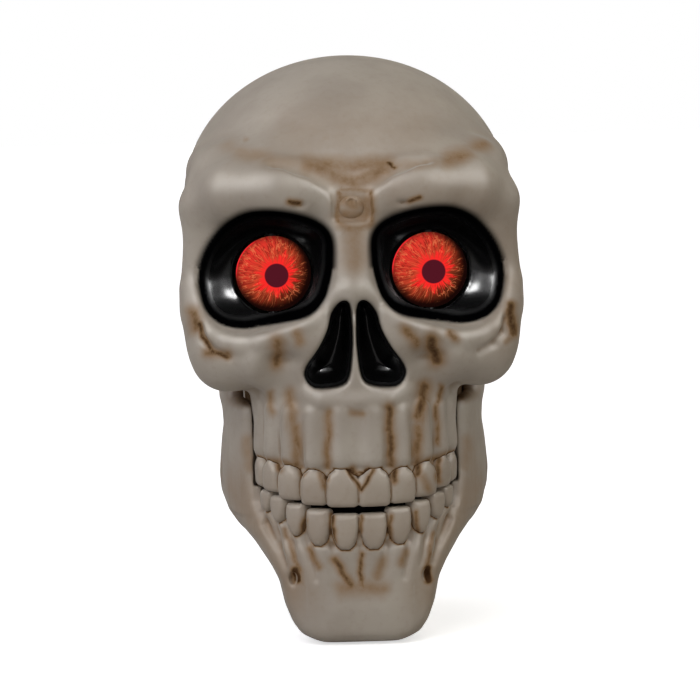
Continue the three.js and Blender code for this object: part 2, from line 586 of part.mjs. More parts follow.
function jawBase() {
  const block = prismY(baseSection(0), BASE_FRONT, BASE_REAR);
  const deckBox = box([-HOUSING_X[1] - 9, HOUSING_X[1] + 9], [DECK_FRONT, HOUSING_Y[1]], [BASE_TOP, DECK_TOP]);
  const deck = deckBox.intersect(jawHollow(JAW_WALL + GAP));
  const hollow = prismY(baseSection(BASE_WALL), BASE_FRONT + BASE_WALL, BASE_REAR - BASE_WALL);
  const doorway = box([-BAY_HALF_WIDTH - GAP, BAY_HALF_WIDTH + GAP], [BAY_FRONT - GAP, BAY_REAR + GAP],
    [0, CELL_Z]);
  const ends = [BAY_FRONT - 2, BAY_REAR].map((y) =>
    box([-BAY_HALF_WIDTH, BAY_HALF_WIDTH], [y, y + 2], [FOOT_HEIGHT + DOOR_THICKNESS + GAP, BASE_TOP]));
  const roof = box([-BAY_HALF_WIDTH, BAY_HALF_WIDTH], [BAY_FRONT, BAY_REAR],
    [CELL_Z + CELL_RADIUS + GAP, BASE_TOP]);
  const screwHoles = everyDeckScrew.map(([x, y]) => rod([x, y, 0], [x, y, FAR], SCREW_RADIUS + GAP, 10));
  const headRooms = everyDeckScrew.map(([x, y]) =>
    rod([x, y, 0], [x, y, BASE_TOP - GAP], SCREW_HEAD_RADIUS + GAP, 12));
  const doorScrew = rod([0, BAY_REAR + 4.5, 0], [0, BAY_REAR + 4.5, 12], SCREW_RADIUS + 3 * GAP, 10);
  const postFoot = FOOT_HEIGHT + DOOR_THICKNESS;
  const doorPost = box([-5, 5], [BAY_REAR + 1, BASE_REAR - 1], [postFoot, postFoot + 6]);
  const tab = box([-6 - GAP, 6 + GAP], [BAY_REAR, BAY_REAR + 8.6], [0, FOOT_HEIGHT + DOOR_THICKNESS + GAP]);
  const slot = box([-SWITCH_TRAVEL - 3 - GAP, SWITCH_TRAVEL + 3 + GAP], [BASE_REAR - 5, BASE_REAR + 5],
    [SWITCH_Z - 2 - GAP, SWITCH_Z + 2 + GAP]);
  const shell = block.subtract(hollow).add(deck).add(joined([...ends, roof]));
  const open = without(shell, [doorway, ...screwHoles, ...headRooms, slot]);
  return meshOf('jaw_base', without(open.add(doorPost), [tab, doorScrew]), bone);
}

const SWITCH_Z = 17;
const SWITCH_TRAVEL = 2.5;

function powerSwitch() {
  const front = BASE_REAR - BASE_WALL - GAP;
  const body = box([-9, 9], [front - 3.5, front], [SWITCH_Z - 4, SWITCH_Z + 4]).subtract(
    box([-SWITCH_TRAVEL - 3.3, SWITCH_TRAVEL + 3.3], [front - 2, front + 1], [SWITCH_Z - 2.3, SWITCH_Z + 2.3]));
  const knob = box([-3, 3], [front - 1.7, BASE_REAR + 1.8], [SWITCH_Z - 2, SWITCH_Z + 2]);
  const grips = [-1.4, 1.4].map((x) => box([x - 0.4, x + 0.4], [BASE_REAR + 1.2, FAR], [0, FAR]));
  return [meshOf('switch_body', body, darkPlastic), meshOf('switch_knob', without(knob, grips), darkPlastic)];
}

function batteryDoor() {
  const z = [DOOR_BOTTOM, DOOR_BOTTOM + DOOR_THICKNESS];
  const plate = box([-BAY_HALF_WIDTH, BAY_HALF_WIDTH], [BAY_FRONT, BAY_REAR], z);
  const tab = box([-6, 6], [BAY_REAR - 1, BAY_REAR + 8.3], z);
  const hole = rod([0, BAY_REAR + 4.5, 0], [0, BAY_REAR + 4.5, 5], SCREW_RADIUS + GAP, 10);
  const head = rod([0, BAY_REAR + 4.5, 0], [0, BAY_REAR + 4.5, DOOR_BOTTOM + 1.2], SCREW_HEAD_RADIUS + GAP, 12);
  const grips = [0, 1, 2].map((i) =>
    box([-8, 8], [BAY_FRONT + 6 + 3 * i, BAY_FRONT + 7 + 3 * i], [0, DOOR_BOTTOM + 0.6]));
  return meshOf('battery_door', without(plate.add(tab), [hole, head, ...grips]), bone);
}

function cells() {
  return SIDES.map((side) => {
    const x = side * (CELL_RADIUS + GAP / 2);
    const start = BAY_FRONT + 3;
    const jacket = rod([x, start, CELL_Z], [x, start + CELL_LENGTH - 1.2, CELL_Z], CELL_RADIUS, 20);
    const cap = side < 0 ? [start + CELL_LENGTH - 1.3, start + CELL_LENGTH] : [start - 1.2, start + 0.1];
    const button = rod([x, cap[0], CELL_Z], [x, cap[1], CELL_Z], 2.6, 12);
    return meshOf(side < 0 ? 'cell_left' : 'cell_right', jacket.add(button), cellJacket);
  });
}

function cellContacts() {
  const thick = 0.5;
  const z = [CELL_Z - 4.5, CELL_Z + 4.5];
  const frontY = BAY_FRONT + GAP;
  const rearY = BAY_REAR - GAP - thick;
  const spring = (x, from, to) => rod([x, from, CELL_Z], [x, to, CELL_Z], 3, 12);
  const bridge = box([-12, 12], [rearY, rearY + thick], z).add(
    spring(CELL_RADIUS, BAY_FRONT + 3 + CELL_LENGTH - 1.2 + GAP, rearY + 0.1));
  const plus = box([2, 13], [frontY, frontY + thick], z);
  const minus = box([-13, -2], [frontY, frontY + thick], z).add(
    spring(-CELL_RADIUS, frontY + 0.1, BAY_FRONT + 3 - GAP));
  return [meshOf('contact_bridge', bridge, steel), meshOf('contact_plus', plus, steel),
    meshOf('contact_minus', minus, steel)];
}

function rearFeet() {
  return SIDES.map((side) => {
    const [x, y] = [side * 10.5, BASE_REAR - 3.6];
    const foot = rod([x, y, 0], [x, y, FOOT_HEIGHT - GAP / 6], 3.2, 16);
    return meshOf(side < 0 ? 'foot_left' : 'foot_right', foot, rubber);
  });
}

// Gears: straight-flanked teeth, thinned for backlash
const PRESSURE = 24 * DEGREE;
const BACKLASH = 0.34;

// Four corners of one tooth, as [radius, angle] pairs in order of angle.
function toothCorners(radius, module, angle) {
  const pitchHalf = Math.PI * module / 4 - BACKLASH / 2;
  const tipHalf = pitchHalf - 0.8 * module * Math.tan(PRESSURE);
  const root = radius - 1.2 * module;
  const rootHalf = Math.min(pitchHalf + 1.2 * module * Math.tan(PRESSURE),
    0.46 * Math.PI * module * root / radius);
  const tip = radius + 0.8 * module;
  return [[root, angle - rootHalf / root], [tip, angle - tipHalf / tip], [tip, angle + tipHalf / tip],
    [root, angle + rootHalf / root]];
}

const polar = ([radius, angle]) => [radius * Math.cos(angle), radius * Math.sin(angle)];

function gearOutline(teeth, module, firstAngle) {
  const radius = teeth * module / 2;
  return Array.from({ length: teeth },
    (_, i) => toothCorners(radius, module, firstAngle + 2 * Math.PI * i / teeth))
    .flat().map(polar);
}

// Teeth numbered first to last about the direction they face, closed by a hub behind them.
function sectorOutline(radius, module, facing, first, last, hubRadius) {
  const pitch = Math.PI * module / radius;
  const count = last - first + 1;
  const corners = Array.from({ length: count },
    (_, i) => toothCorners(radius, module, facing + (first + i) * pitch)).flat();
  const hub = [0.3, 0.5, 0.7].map((share) => [hubRadius, facing + Math.PI * (0.1 + 2 * share)]);
  return [...corners, ...hub].map(polar);
}

const onX = (points, y, z) => points.map(([u, v]) => [u + y, v + z]);
const DOWN = -90 * DEGREE;
const NECK_RADIUS = HINGE_Z - SECTOR_PAD_TOP;

// Part of the sector between its foot and its teeth, in (y, z), grown for the slot it passes through.
function sectorNeck(grow) {
  const corners = [[SECTOR_RADIUS, SECTOR_FRONT_ANGLE], [SECTOR_RADIUS, SECTOR_REAR_ANGLE],
    [NECK_RADIUS - 6, SECTOR_REAR_ANGLE], [NECK_RADIUS - 6, SECTOR_FRONT_ANGLE]];
  return corners.map(([radius, angle], i) => {
    const outward = i === 1 || i === 2 ? grow : -grow;
    return [HINGE_Y + radius * Math.sin(angle) + outward, HINGE_Z - radius * Math.cos(angle)];
  });
}

function driveSector() {
  const pitch = Math.PI * DRIVE_MODULE / SECTOR_RADIUS;
  const first = Math.ceil(SECTOR_FRONT_ANGLE / pitch);
  const last = Math.floor(SECTOR_REAR_ANGLE / pitch);
  const teeth = Array.from({ length: last - first + 1 }, (_, i) =>
    toothCorners(SECTOR_RADIUS, DRIVE_MODULE, DOWN + (first + i) * pitch)).flat().map(polar);
  const inner = [[NECK_RADIUS - 2, DOWN + last * pitch], [NECK_RADIUS - 2, DOWN + first * pitch]].map(polar);
  const xs = [SECTOR_X - SECTOR_THICKNESS / 2, SECTOR_X + SECTOR_THICKNESS / 2];
  const fan = prismX(onX([...teeth, ...inner], HINGE_Y, HINGE_Z), ...xs);
  const top = SECTOR_PAD_TOP + GAP;
  const foot = box([SECTOR_X - 12, SECTOR_X + 12], [HINGE_Y - 12, SEAM_Y - 1], [top, top + 3]);
  const trimmed = fan.intersect(box([-FAR, FAR], [-FAR, FAR], [0, top + 1]));
  return meshOf('drive_sector', trimmed.add(foot), whitePlastic);
}

// Compound gear: a small pinion under the sector and a wheel that the motor turns.
function reductionGear() {
  const half = SECTOR_THICKNESS / 2 + 1;
  const firstTooth = Math.PI / 2 + Math.PI / DRIVE_PINION_TEETH;
  const pinion = prismX(gearOutline(DRIVE_PINION_TEETH, DRIVE_MODULE, firstTooth), -half, half);
  const wheel = prismX(gearOutline(WHEEL_TEETH, WHEEL_MODULE, 0), half - 0.1, half + 3);
  const bore = rod([-FAR, 0, 0], [FAR, 0, 0], AXLE_RADIUS + GAP / 2, 12);
  const mesh = meshOf('reduction_gear', pinion.add(wheel).subtract(bore), whitePlastic);
  mesh.position.set(SECTOR_X, HINGE_Y, AXLE_Z);
  return mesh;
}

const AXLE_RADIUS = 1.5;
const MOTOR_SHAFT_RADIUS = 1;
const FRAME_LEFT = SECTOR_X - 6.5;
const FRAME_RIGHT = SECTOR_X + 8;
const FRAME_WALL = 2;

function motorPinion() {
  const outline = gearOutline(MOTOR_PINION_TEETH, WHEEL_MODULE, Math.PI + Math.PI / MOTOR_PINION_TEETH);
  const bore = rod([-FAR, 0, 0], [FAR, 0, 0], MOTOR_SHAFT_RADIUS + GAP / 3, 10);
  const mesh = meshOf('motor_pinion', prismX(outline, -1.8, 1.8).subtract(bore), brass);
  mesh.position.set(SECTOR_X + SECTOR_THICKNESS / 2 + 2.5, MOTOR_Y, AXLE_Z);
  return mesh;
}

function driveMotor() {
  const right = FRAME_LEFT - GAP;
  const can = rod([right - MOTOR_LENGTH, 0, 0], [right, 0, 0], MOTOR_RADIUS, 20);
  const boss = rod([right - 0.1, 0, 0], [right + 1.5, 0, 0], 2.5, 12);
  const shaft = rod([right, 0, 0], [SECTOR_X + SECTOR_THICKNESS / 2 + 4.5, 0, 0], MOTOR_SHAFT_RADIUS, 10);
  const mesh = meshOf('drive_motor', can.add(boss).add(shaft), steel);
  mesh.position.set(0, MOTOR_Y, AXLE_Z);
  return mesh;
}

function gearFrame() {
  const z = [DECK_TOP + GAP, AXLE_Z + 8];
  const y = [HINGE_Y - 6, MOTOR_Y + 6];
  const left = box([FRAME_LEFT, FRAME_LEFT + FRAME_WALL], y, z);
  const right = box([FRAME_RIGHT, FRAME_RIGHT + FRAME_WALL], y, z);
  const floor = box([FRAME_LEFT, FRAME_RIGHT + FRAME_WALL], y, [DECK_TOP + GAP, DECK_TOP + GAP + 2]);
  const axle = rod([-FAR, HINGE_Y, AXLE_Z], [FAR, HINGE_Y, AXLE_Z], AXLE_RADIUS + 0.1, 12);
  const motor = rod([-FAR, MOTOR_Y, AXLE_Z], [FRAME_LEFT + 4, MOTOR_Y, AXLE_Z], 2.5 + GAP, 12);
  return meshOf('gear_frame', without(joined([left, right, floor]), [axle, motor]), darkPlastic);
}

const gearAxle = () => meshOf('gear_axle', rod([FRAME_LEFT + 0.2, HINGE_Y, AXLE_Z],
  [FRAME_RIGHT + FRAME_WALL, HINGE_Y, AXLE_Z], AXLE_RADIUS, 12), steel);

function gearHousing() {
  const top = AXLE_Z + WHEEL_RADIUS + WHEEL_MODULE + 2.6;
  const inset = 1.8;
  const outer = box(HOUSING_X, HOUSING_Y, [DECK_TOP + GAP, top]);
  const inner = box([HOUSING_X[0] + inset, HOUSING_X[1] - inset], [HOUSING_Y[0] + inset, HOUSING_Y[1] - inset],
    [0, top - inset]);
  const half = SECTOR_THICKNESS / 2 + 0.8;
  const slot = box([SECTOR_X - half, SECTOR_X + half], [HINGE_Y - 19, HINGE_Y + 19], [top - 5, top + 5]);
  return meshOf('gear_housing', without(outer, [inner, slot]), darkPlastic);
}

// Eyes, each built round its own centre and then turned to where it looks
const FLANGE_Z = EYE_RADIUS + 4.8;
const LOWER_FLANGE_Z = EYE_RADIUS + 1;
const FLANGE_THICKNESS = 2;
const EYE_GEAR_Z = FLANGE_Z + FLANGE_THICKNESS + 1;
const EYE_GEAR_THICKNESS = 3;
const EYE_PIN_TOP = EYE_GEAR_Z + EYE_GEAR_THICKNESS + 0.6;
const LED_RADIUS = 2.5;

function eyeShell(front) {
  const outer = ellipsoid([0, 0, 0], [EYE_RADIUS, EYE_RADIUS, EYE_RADIUS], 20, 10);
  const innerRadius = EYE_RADIUS - EYE_WALL;
  const inner = ellipsoid([0, 0, 0], [innerRadius, innerRadius, innerRadius], 12, 8);
  const half = front ? [-FAR, EYE_SPLIT] : [EYE_SPLIT + GAP, FAR];
  return outer.subtract(inner).intersect(box([-FAR, FAR], half, [-FAR, FAR]));
}

function eyeBack() {
  const pins = [[EYE_RADIUS - 0.8, EYE_PIN_TOP], [-EYE_RADIUS + 0.8, -LOWER_FLANGE_Z - FLANGE_THICKNESS]];
  return joined([eyeShell(false), ...pins.map(([a, b]) => rod([0, 0, a], [0, 0, b], EYE_PIN_RADIUS, 12))]);
}

function eyeGear(side) {
  const facing = side > 0 ? Math.PI : 0;
  const plate = prismZ(sectorOutline(EYE_GEAR_RADIUS, EYE_GEAR_MODULE, facing, -2, 2, 4.4), EYE_GEAR_Z,
    EYE_GEAR_Z + EYE_GEAR_THICKNESS);
  return plate.subtract(rod([0, 0, 0], [0, 0, FAR], EYE_PIN_RADIUS + 0.1, 12));
}

function eye(side) {
  const word = side < 0 ? 'left' : 'right';
  const led = rod([0, 2, 0], [0, EYE_RADIUS - EYE_WALL - 4 * GAP, 0], LED_RADIUS, 12);
  const group = new THREE.Group();
  group.add(meshOf(`eye_dome_${word}`, eyeShell(true), eyeRed));
  group.add(meshOf(`eye_back_${word}`, eyeBack(), darkPlastic));
  group.add(meshOf(`eye_gear_${word}`, eyeGear(side), whitePlastic));
  group.add(meshOf(`eye_led_${word}`, led, ledRed));
  group.position.set(side * EYE_X, EYE_Y, EYE_Z);
  group.rotation.z = EYE_YAW;
  return group;
}

function eyeMiddleGear() {
  const half = (facing) => {
    const pitch = Math.PI * EYE_GEAR_MODULE / EYE_MIDDLE_RADIUS;
    const outline = [-1.5, -0.5, 0.5, 1.5].flatMap((i) => toothCorners(EYE_MIDDLE_RADIUS, EYE_GEAR_MODULE,
      facing + i * pitch));
    return prismZ([...outline, [4, facing + 2], [4, facing - 2]].map(polar), EYE_GEAR_Z,
      EYE_GEAR_Z + EYE_GEAR_THICKNESS);
  };
  const bore = rod([0, 0, 0], [0, 0, FAR], EYE_SHAFT_RADIUS + 0.1, 12);
  const hub = rod([0, 0, EYE_GEAR_Z], [0, 0, EYE_GEAR_Z + EYE_GEAR_THICKNESS], 4.5, 16);
  const mesh = meshOf('eye_middle_gear', joined([half(0), half(Math.PI), hub]).subtract(bore), whitePlastic);
  mesh.position.set(0, EYE_Y, EYE_Z);
  mesh.rotation.z = -EYE_YAW * EYE_GEAR_RADIUS / EYE_MIDDLE_RADIUS;
  return mesh;
}

const EYE_SHAFT_RADIUS = 1.5;
const EYE_MOTOR_HEIGHT = 24;

function eyeMotor() {
  const top = FLANGE_Z - GAP;
  const can = box([-6, 6], [-5, 5], [top - EYE_MOTOR_HEIGHT, top]);
  const shaft = rod([0, 0, top - 1], [0, 0, EYE_GEAR_Z + EYE_GEAR_THICKNESS], EYE_SHAFT_RADIUS, 12);
  const mesh = meshOf('eye_motor', can.add(shaft), steel);
  mesh.position.set(0, EYE_Y, EYE_Z);
  return mesh;
}

const BRACKET_THICKNESS = 2;
const BOARD_Y = BRACKET_Y + BRACKET_THICKNESS + 4;
const BOARD_HALF = [24, 20];

// Carrier behind the sockets: a back plate on four posts and two flanges that hold the eye pins.
function eyeBracket() {
  const backHalfWidth = EYE_X - 5;
  const back = box([-backHalfWidth, backHalfWidth], [BRACKET_Y, BRACKET_Y + BRACKET_THICKNESS],
    [EYE_Z - LOWER_FLANGE_Z - FLANGE_THICKNESS, EYE_Z + FLANGE_Z + FLANGE_THICKNESS]);
  const flangePlan = mirrored([[EYE_X + 2.6, EYE_Y - 3.2], [EYE_X + 2.6, EYE_Y + 2],
    [backHalfWidth, BRACKET_Y + 1]]);
  const lugs = BRACKET_POSTS.map(([x, z]) => box([-x - 5, x + 5], [BRACKET_Y, BRACKET_Y + BRACKET_THICKNESS],
    [Math.min(z - 5, EYE_Z), Math.max(z + 5, EYE_Z)]));
  const flanges = [FLANGE_Z, -LOWER_FLANGE_Z - FLANGE_THICKNESS].map((z) =>
    prismZ(flangePlan, EYE_Z + z, EYE_Z + z + FLANGE_THICKNESS));
  const standoffs = boardCorners().map(([x, z]) =>
    rod([x, BRACKET_Y + 1, z], [x, BOARD_Y - GAP, z], 2.6, 12));
  const pinHoles = SIDES.map((side) =>
    rod([side * EYE_X, EYE_Y, 0], [side * EYE_X, EYE_Y, 2 * FAR], EYE_PIN_RADIUS + GAP, 14));
  const shaftHole = rod([0, EYE_Y, EYE_Z], [0, EYE_Y, 2 * FAR], EYE_SHAFT_RADIUS + GAP, 12);
  const screwHoles = everyPost.map(([x, z]) => rod([x, -FAR, z], [x, FAR, z], SCREW_RADIUS + GAP, 10));
  const body = joined([back, ...lugs, ...flanges, ...standoffs]);
  return meshOf('eye_bracket', without(body, [...pinHoles, shaftHole, ...screwHoles]), darkPlastic);
}

const boardCorners = () => SIDES.flatMap((side) => SIDES.map((up) =>
  [side * (BOARD_HALF[0] - 4), EYE_Z + up * (BOARD_HALF[1] - 4)]));

function bracketScrews() {
  return everyPost.map(([x, z], i) => placedScrew(`bracket_screw_${i + 1}`, 9,
    [x, BRACKET_Y + BRACKET_THICKNESS + GAP, z], [0, -1, 0]));
}

function controlBoard() {
  const board = box([-BOARD_HALF[0], BOARD_HALF[0]], [BOARD_Y, BOARD_Y + 1.6],
    [EYE_Z - BOARD_HALF[1], EYE_Z + BOARD_HALF[1]]);
  const chip = box([-7, 7], [BOARD_Y + 1.5, BOARD_Y + 4], [EYE_Z - 4, EYE_Z + 8]);
  const capacitor = rod([15, BOARD_Y + 1.5, EYE_Z - 10], [15, BOARD_Y + 12, EYE_Z - 10], 4, 14);
  return meshOf('control_board', joined([board, chip, capacitor]), boardGreen);
}

function sensorParts() {
  const front = skinY(0, SENSOR_Z, -1);
  const window = rod([0, front - 0.2, SENSOR_Z], [0, front + 5, SENSOR_Z], SENSOR_RADIUS, 20);
  const sensor = rod([0, front + 5 + GAP, SENSOR_Z], [0, front + SENSOR_BOSS_DEPTH, SENSOR_Z],
    SENSOR_RADIUS, 16);
  return [meshOf('sensor_window', window, windowBrown), meshOf('light_sensor', sensor, darkPlastic)];
}

function speaker() {
  const magnet = SPEAKER_RADIUS * 0.47;
  const profile = [[0, -SPEAKER_DEPTH], [magnet, -SPEAKER_DEPTH], [magnet, -7.2], [magnet + 2.5, -5.7],
    [SPEAKER_RADIUS, -3.2], [SPEAKER_RADIUS, 0], [SPEAKER_RADIUS - 1.5, 0], [5, -3.7], [0, -2.7]];
  const geometry = new THREE.LatheGeometry(profile.map(([r, y]) => new THREE.Vector2(r, y)), 20);
  const solid = solidOf(geometry);
  const mesh = meshOf('speaker', solid, darkPlastic);
  mesh.position.set(0, SPEAKER_FACE_Y, SPEAKER_Z);
  return mesh;
}

function groupOf(name, meshes) {
  const group = new THREE.Group();
  group.name = name;
  group.add(...meshes);
  return group;
}

function doorScrew() {
  return placedScrew('door_screw', 6, [0, BAY_REAR + 4.5, DOOR_BOTTOM + 1.2 - GAP], [0, 0, 1]);
}

function deckScrews() {
  return everyDeckScrew.map(([x, y], i) =>
    placedScrew(`base_screw_${i + 1}`, 9, [x, y, BASE_TOP - GAP - 0.2], [0, 0, 1]));
}

const jaw = groupOf('jaw', [jawShell(), ...hingePins(), jawBase(), ...deckScrews(), batteryDoor(), doorScrew(), ...cells(),
  ...cellContacts(), ...rearFeet(), ...powerSwitch(), gearFrame(), gearAxle(), driveMotor(), motorPinion(),
  reductionGear(), gearHousing()]);
const head = groupOf('head', [...skullShells(), ...shellScrews(), ...hingeBushings(), driveSector(), eyeBracket(),
  ...bracketScrews(), eyeMotor(), eyeMiddleGear(), controlBoard(), ...sensorParts(), speaker(), ...SIDES.map(eye)]);

const ornament = groupOf('skull_ornament', [jaw, head]);

// The part's origin is under the middle of its box, on the table.
ornament.position.y = -BOX_MIDDLE_Y;

export default ornament;
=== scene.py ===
"""Looks of an animated table-top skull ornament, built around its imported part.

The bone pieces are drawn as distance fields in design millimetres: the face looks along -Y, the table
is z = 0. Each field becomes a mesh in metres, is painted by vertex attributes, and rides the body of
its node.
"""
import json
import math
from collections import namedtuple

import bpy
import numpy as np
from mathutils import Matrix, Vector


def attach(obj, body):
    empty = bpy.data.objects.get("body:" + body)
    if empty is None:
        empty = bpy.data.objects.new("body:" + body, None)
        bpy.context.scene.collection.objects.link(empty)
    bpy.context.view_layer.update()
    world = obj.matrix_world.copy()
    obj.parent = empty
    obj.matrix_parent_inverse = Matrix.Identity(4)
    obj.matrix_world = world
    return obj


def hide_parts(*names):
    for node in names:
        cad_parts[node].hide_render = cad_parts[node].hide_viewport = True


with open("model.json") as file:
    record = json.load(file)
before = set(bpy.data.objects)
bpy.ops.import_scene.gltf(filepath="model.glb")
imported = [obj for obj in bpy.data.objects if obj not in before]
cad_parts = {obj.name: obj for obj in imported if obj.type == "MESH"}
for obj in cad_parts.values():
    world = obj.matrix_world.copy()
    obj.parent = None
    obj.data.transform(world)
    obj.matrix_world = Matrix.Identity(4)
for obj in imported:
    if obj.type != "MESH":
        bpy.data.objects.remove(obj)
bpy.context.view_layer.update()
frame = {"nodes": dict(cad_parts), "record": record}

MILLIMETRE = 0.001
FRAME_SHIFT_Y = -2.5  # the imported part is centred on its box, the design is not
BONE_STEP = 0.75
JAW_STEP = 0.65
TOOTH_STEP = 0.38
BOSS_STEP = 0.3

# Grids of the fields: half width, y range and z range
SKULL_GRID = (61, (-74, 78), (52, 201))
JAW_GRID = (48, (-73, 27), (-2, 106))
UPPER_TEETH_GRID = (40, (-73, -26), (45, 68))
LOWER_TEETH_GRID = (40, (-73, -26), (27, 54))
BOSS_GRID = (7, (-72, -58), (141, 157))

# Share of its faces that each mesh keeps
FACE_KEEP = 0.45
REAR_KEEP = 0.35
JAW_KEEP = 0.5
SMALL_KEEP = 0.6

# Upper skull and jaw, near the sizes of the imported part
WALL = 2.6
SEAM_Y = 26
SEAM_GAP = 0.3
SKULL_TOP = 197.9
CRANIUM_CENTRE = (0, 8, 148.6)
CRANIUM_RADII = (57, 67.8)
CRANIUM_DROP = 60
FLOOR_Z = 74
HINGE_Y = 14
HINGE_Z = 93
CONDYLE_RADIUS = 9
RAMUS_INNER = 38
RAMUS_OUTER = 46.8
JAW_WALL = 4

# Eyes, drawn a little larger and higher than their solids, as the photograph shows them
EYE_X = 26.8
EYE_Y = -32
EYE_Z = 124.8
EYE_RADIUS = 13.2
EYE_YAW = math.radians(5.7)
EYE_SPLIT = -2.6
EYE_WALL = 1.4
EYE_CLEARANCE = 0.6
EYE_HOLE = (EYE_Y - 8, EYE_Y + 14)
SOCKET_CENTRE = (29.3, 126.5)
SOCKET_RIM_Y = -62  # of the inner half; the outer half of the rim runs back
SOCKET_RIM_SWEEP = 21
SOCKET_BOTTOM_Y = -36
SOCKET_TEMPLE_X = 45  # outside this the temple lies behind the socket
SOCKET_FLATNESS = 5  # more for a flatter floor and steeper walls

# Teeth stand on circular arches round the same centre
ARCH_Y = -35
ARCH_REAR_SQUEEZE = 2.2
UPPER_ARCH_RADIUS = 34.2
LOWER_ARCH_RADIUS = 33.4
TOOTH_DEPTH = 6.5
CROWN_PROUD = 1  # how far the crowns stand out from the arch
Tooth = namedtuple("Tooth", "width edge gum")
UPPER_TEETH = [Tooth(11.4, 47.4, 60), Tooth(9.8, 48, 60), Tooth(10.4, 49.4, 61), Tooth(10, 51.5, 62),
               Tooth(9, 52.4, 63)]
LOWER_TEETH = [Tooth(10, 45.2, 32.6), Tooth(9.4, 46.8, 33.8), Tooth(8.8, 48.4, 37), Tooth(8.8, 50.4, 41),
               Tooth(9.2, 51.6, 44)]

# Outlines seen from the front, as x and z of the right half
SOCKET_OUTLINE = [(6.5, 131), (7.5, 124), (10, 117.2), (15, 112.4), (23.5, 110), (31.5, 108.4),
                  (37.5, 107.6), (44.6, 109), (49.6, 113.2), (51.8, 119.5), (52.3, 126), (49, 135.2),
                  (42.5, 143.2), (34, 147.5), (23, 147.5), (12, 144), (7, 139)]
SOCKET_OUTER_X = max(x for x, z in SOCKET_OUTLINE)
NOSE_OUTLINE = [(2.2, 91), (6, 88.2), (13.7, 87.8), (17, 91), (16.6, 95), (12.4, 101.2), (9.2, 107.3),
                (7.6, 113), (4.4, 117), (1.4, 116.2), (0.6, 108), (0.8, 100)]
NOSE_CURVE_STEPS = 3
NOSE_BACK = -52
NOSE_REACH = 7  # from the edge to where the nose is deepest
NOSE_SLOPE = 11

# Openings in the back, and the radius of each
SHELL_SCREWS = [(33, 168), (26.5, 82)]
SHELL_SCREW_RADIUS = 3
SPEAKER_Z = 128
GRILLE_RINGS = [(0, 1), (5, 6), (10, 12)]  # radius of the ring, and its number of holes
GRILLE_HOLE_RADIUS = 1.4
GRILLE_INNER_Y = 58
BACK_Y = 90  # behind the whole skull
FRONT_Y = -90  # in front of it

# The picture: where the camera stands and how large the picture is
PICTURE_SIZE = 700
VIEW_AZIMUTH = math.radians(-1.3)
VIEW_ELEVATION = math.radians(5)
VIEW_ROLL = math.radians(-1.4)
VIEW_DISTANCE = 1.6
VIEW_TARGET = Vector((-0.0011, -0.045, 0.0985))
VIEW_HEIGHT = 0.2394
SENSOR_WIDTH = 36


def camera_matrix():
    level = math.cos(VIEW_ELEVATION)
    back = Vector((math.sin(VIEW_AZIMUTH) * level, -math.cos(VIEW_AZIMUTH) * level, math.sin(VIEW_ELEVATION)))
    turn = back.to_track_quat("Z", "Y").to_matrix().to_4x4()
    return Matrix.Translation(VIEW_TARGET + back * VIEW_DISTANCE) @ turn @ Matrix.Rotation(VIEW_ROLL, 4, "Z")


def add_camera():
    data = bpy.data.cameras.new("camera")
    camera = bpy.data.objects.new("camera", data)
    bpy.context.scene.collection.objects.link(camera)
    camera.matrix_world = camera_matrix()
    data.sensor_width = SENSOR_WIDTH
    data.sensor_fit = "HORIZONTAL"
    data.lens = SENSOR_WIDTH * VIEW_DISTANCE / VIEW_HEIGHT
    data.dof.use_dof = False
    bpy.context.scene.camera = camera


def seen(points):
    """Where design points fall in the picture, in pixels across and down."""
    view = floats(camera_matrix().inverted())
    local = to_frame(points) @ view[:3, :3].T + view[:3, 3]
    scale = PICTURE_SIZE * VIEW_DISTANCE / VIEW_HEIGHT / -local[:, 2]
    return PICTURE_SIZE / 2 + local[:, 0] * scale, PICTURE_SIZE / 2 - local[:, 1] * scale


# Distance fields

Shape = namedtuple("Shape", "distance low high")
FAR = 99  # a distance larger than any that matters
MARGIN = 6  # how far round a form its distances are used


def floats(values):
    return np.array(values, np.float32)


def smooth_min(a, b, blend):
    """The smaller of two distances, rounded where they meet."""
    if blend <= 0:
        return np.minimum(a, b)
    overlap = np.maximum(blend - np.abs(a - b), 0) / blend
    return np.minimum(a, b) - overlap * overlap * (blend / 4)


def smooth_max(a, b, blend):
    return -smooth_min(-a, -b, blend)


def ball(centre, radii):
    centre, radii = floats(centre), floats(radii)

    def distance(x, y, z):
        u, v, w = ((p - c) / r for p, c, r in zip((x, y, z), centre, radii))
        near = np.sqrt(u * u + v * v + w * w) + 1e-6
        slope = np.sqrt((u / radii[0]) ** 2 + (v / radii[1]) ** 2 + (w / radii[2]) ** 2) + 1e-6
        return near * (near - 1) / slope

    return Shape(distance, centre - radii, centre + radii)


def capsule(start, end, radius, end_radius=None):
    """A rod with round ends, which may taper."""
    a, b = floats(start), floats(end)
    end_radius = radius if end_radius is None else end_radius
    along = b - a

    def distance(x, y, z):
        share = ((x - a[0]) * along[0] + (y - a[1]) * along[1] + (z - a[2]) * along[2]) / (along @ along)
        share = np.clip(share, 0, 1)
        gaps = (x - a[0] - along[0] * share, y - a[1] - along[1] * share, z - a[2] - along[2] * share)
        return np.sqrt(gaps[0] ** 2 + gaps[1] ** 2 + gaps[2] ** 2) - radius - (end_radius - radius) * share

    widest = max(radius, end_radius)
    return Shape(distance, np.minimum(a, b) - widest, np.maximum(a, b) + widest)


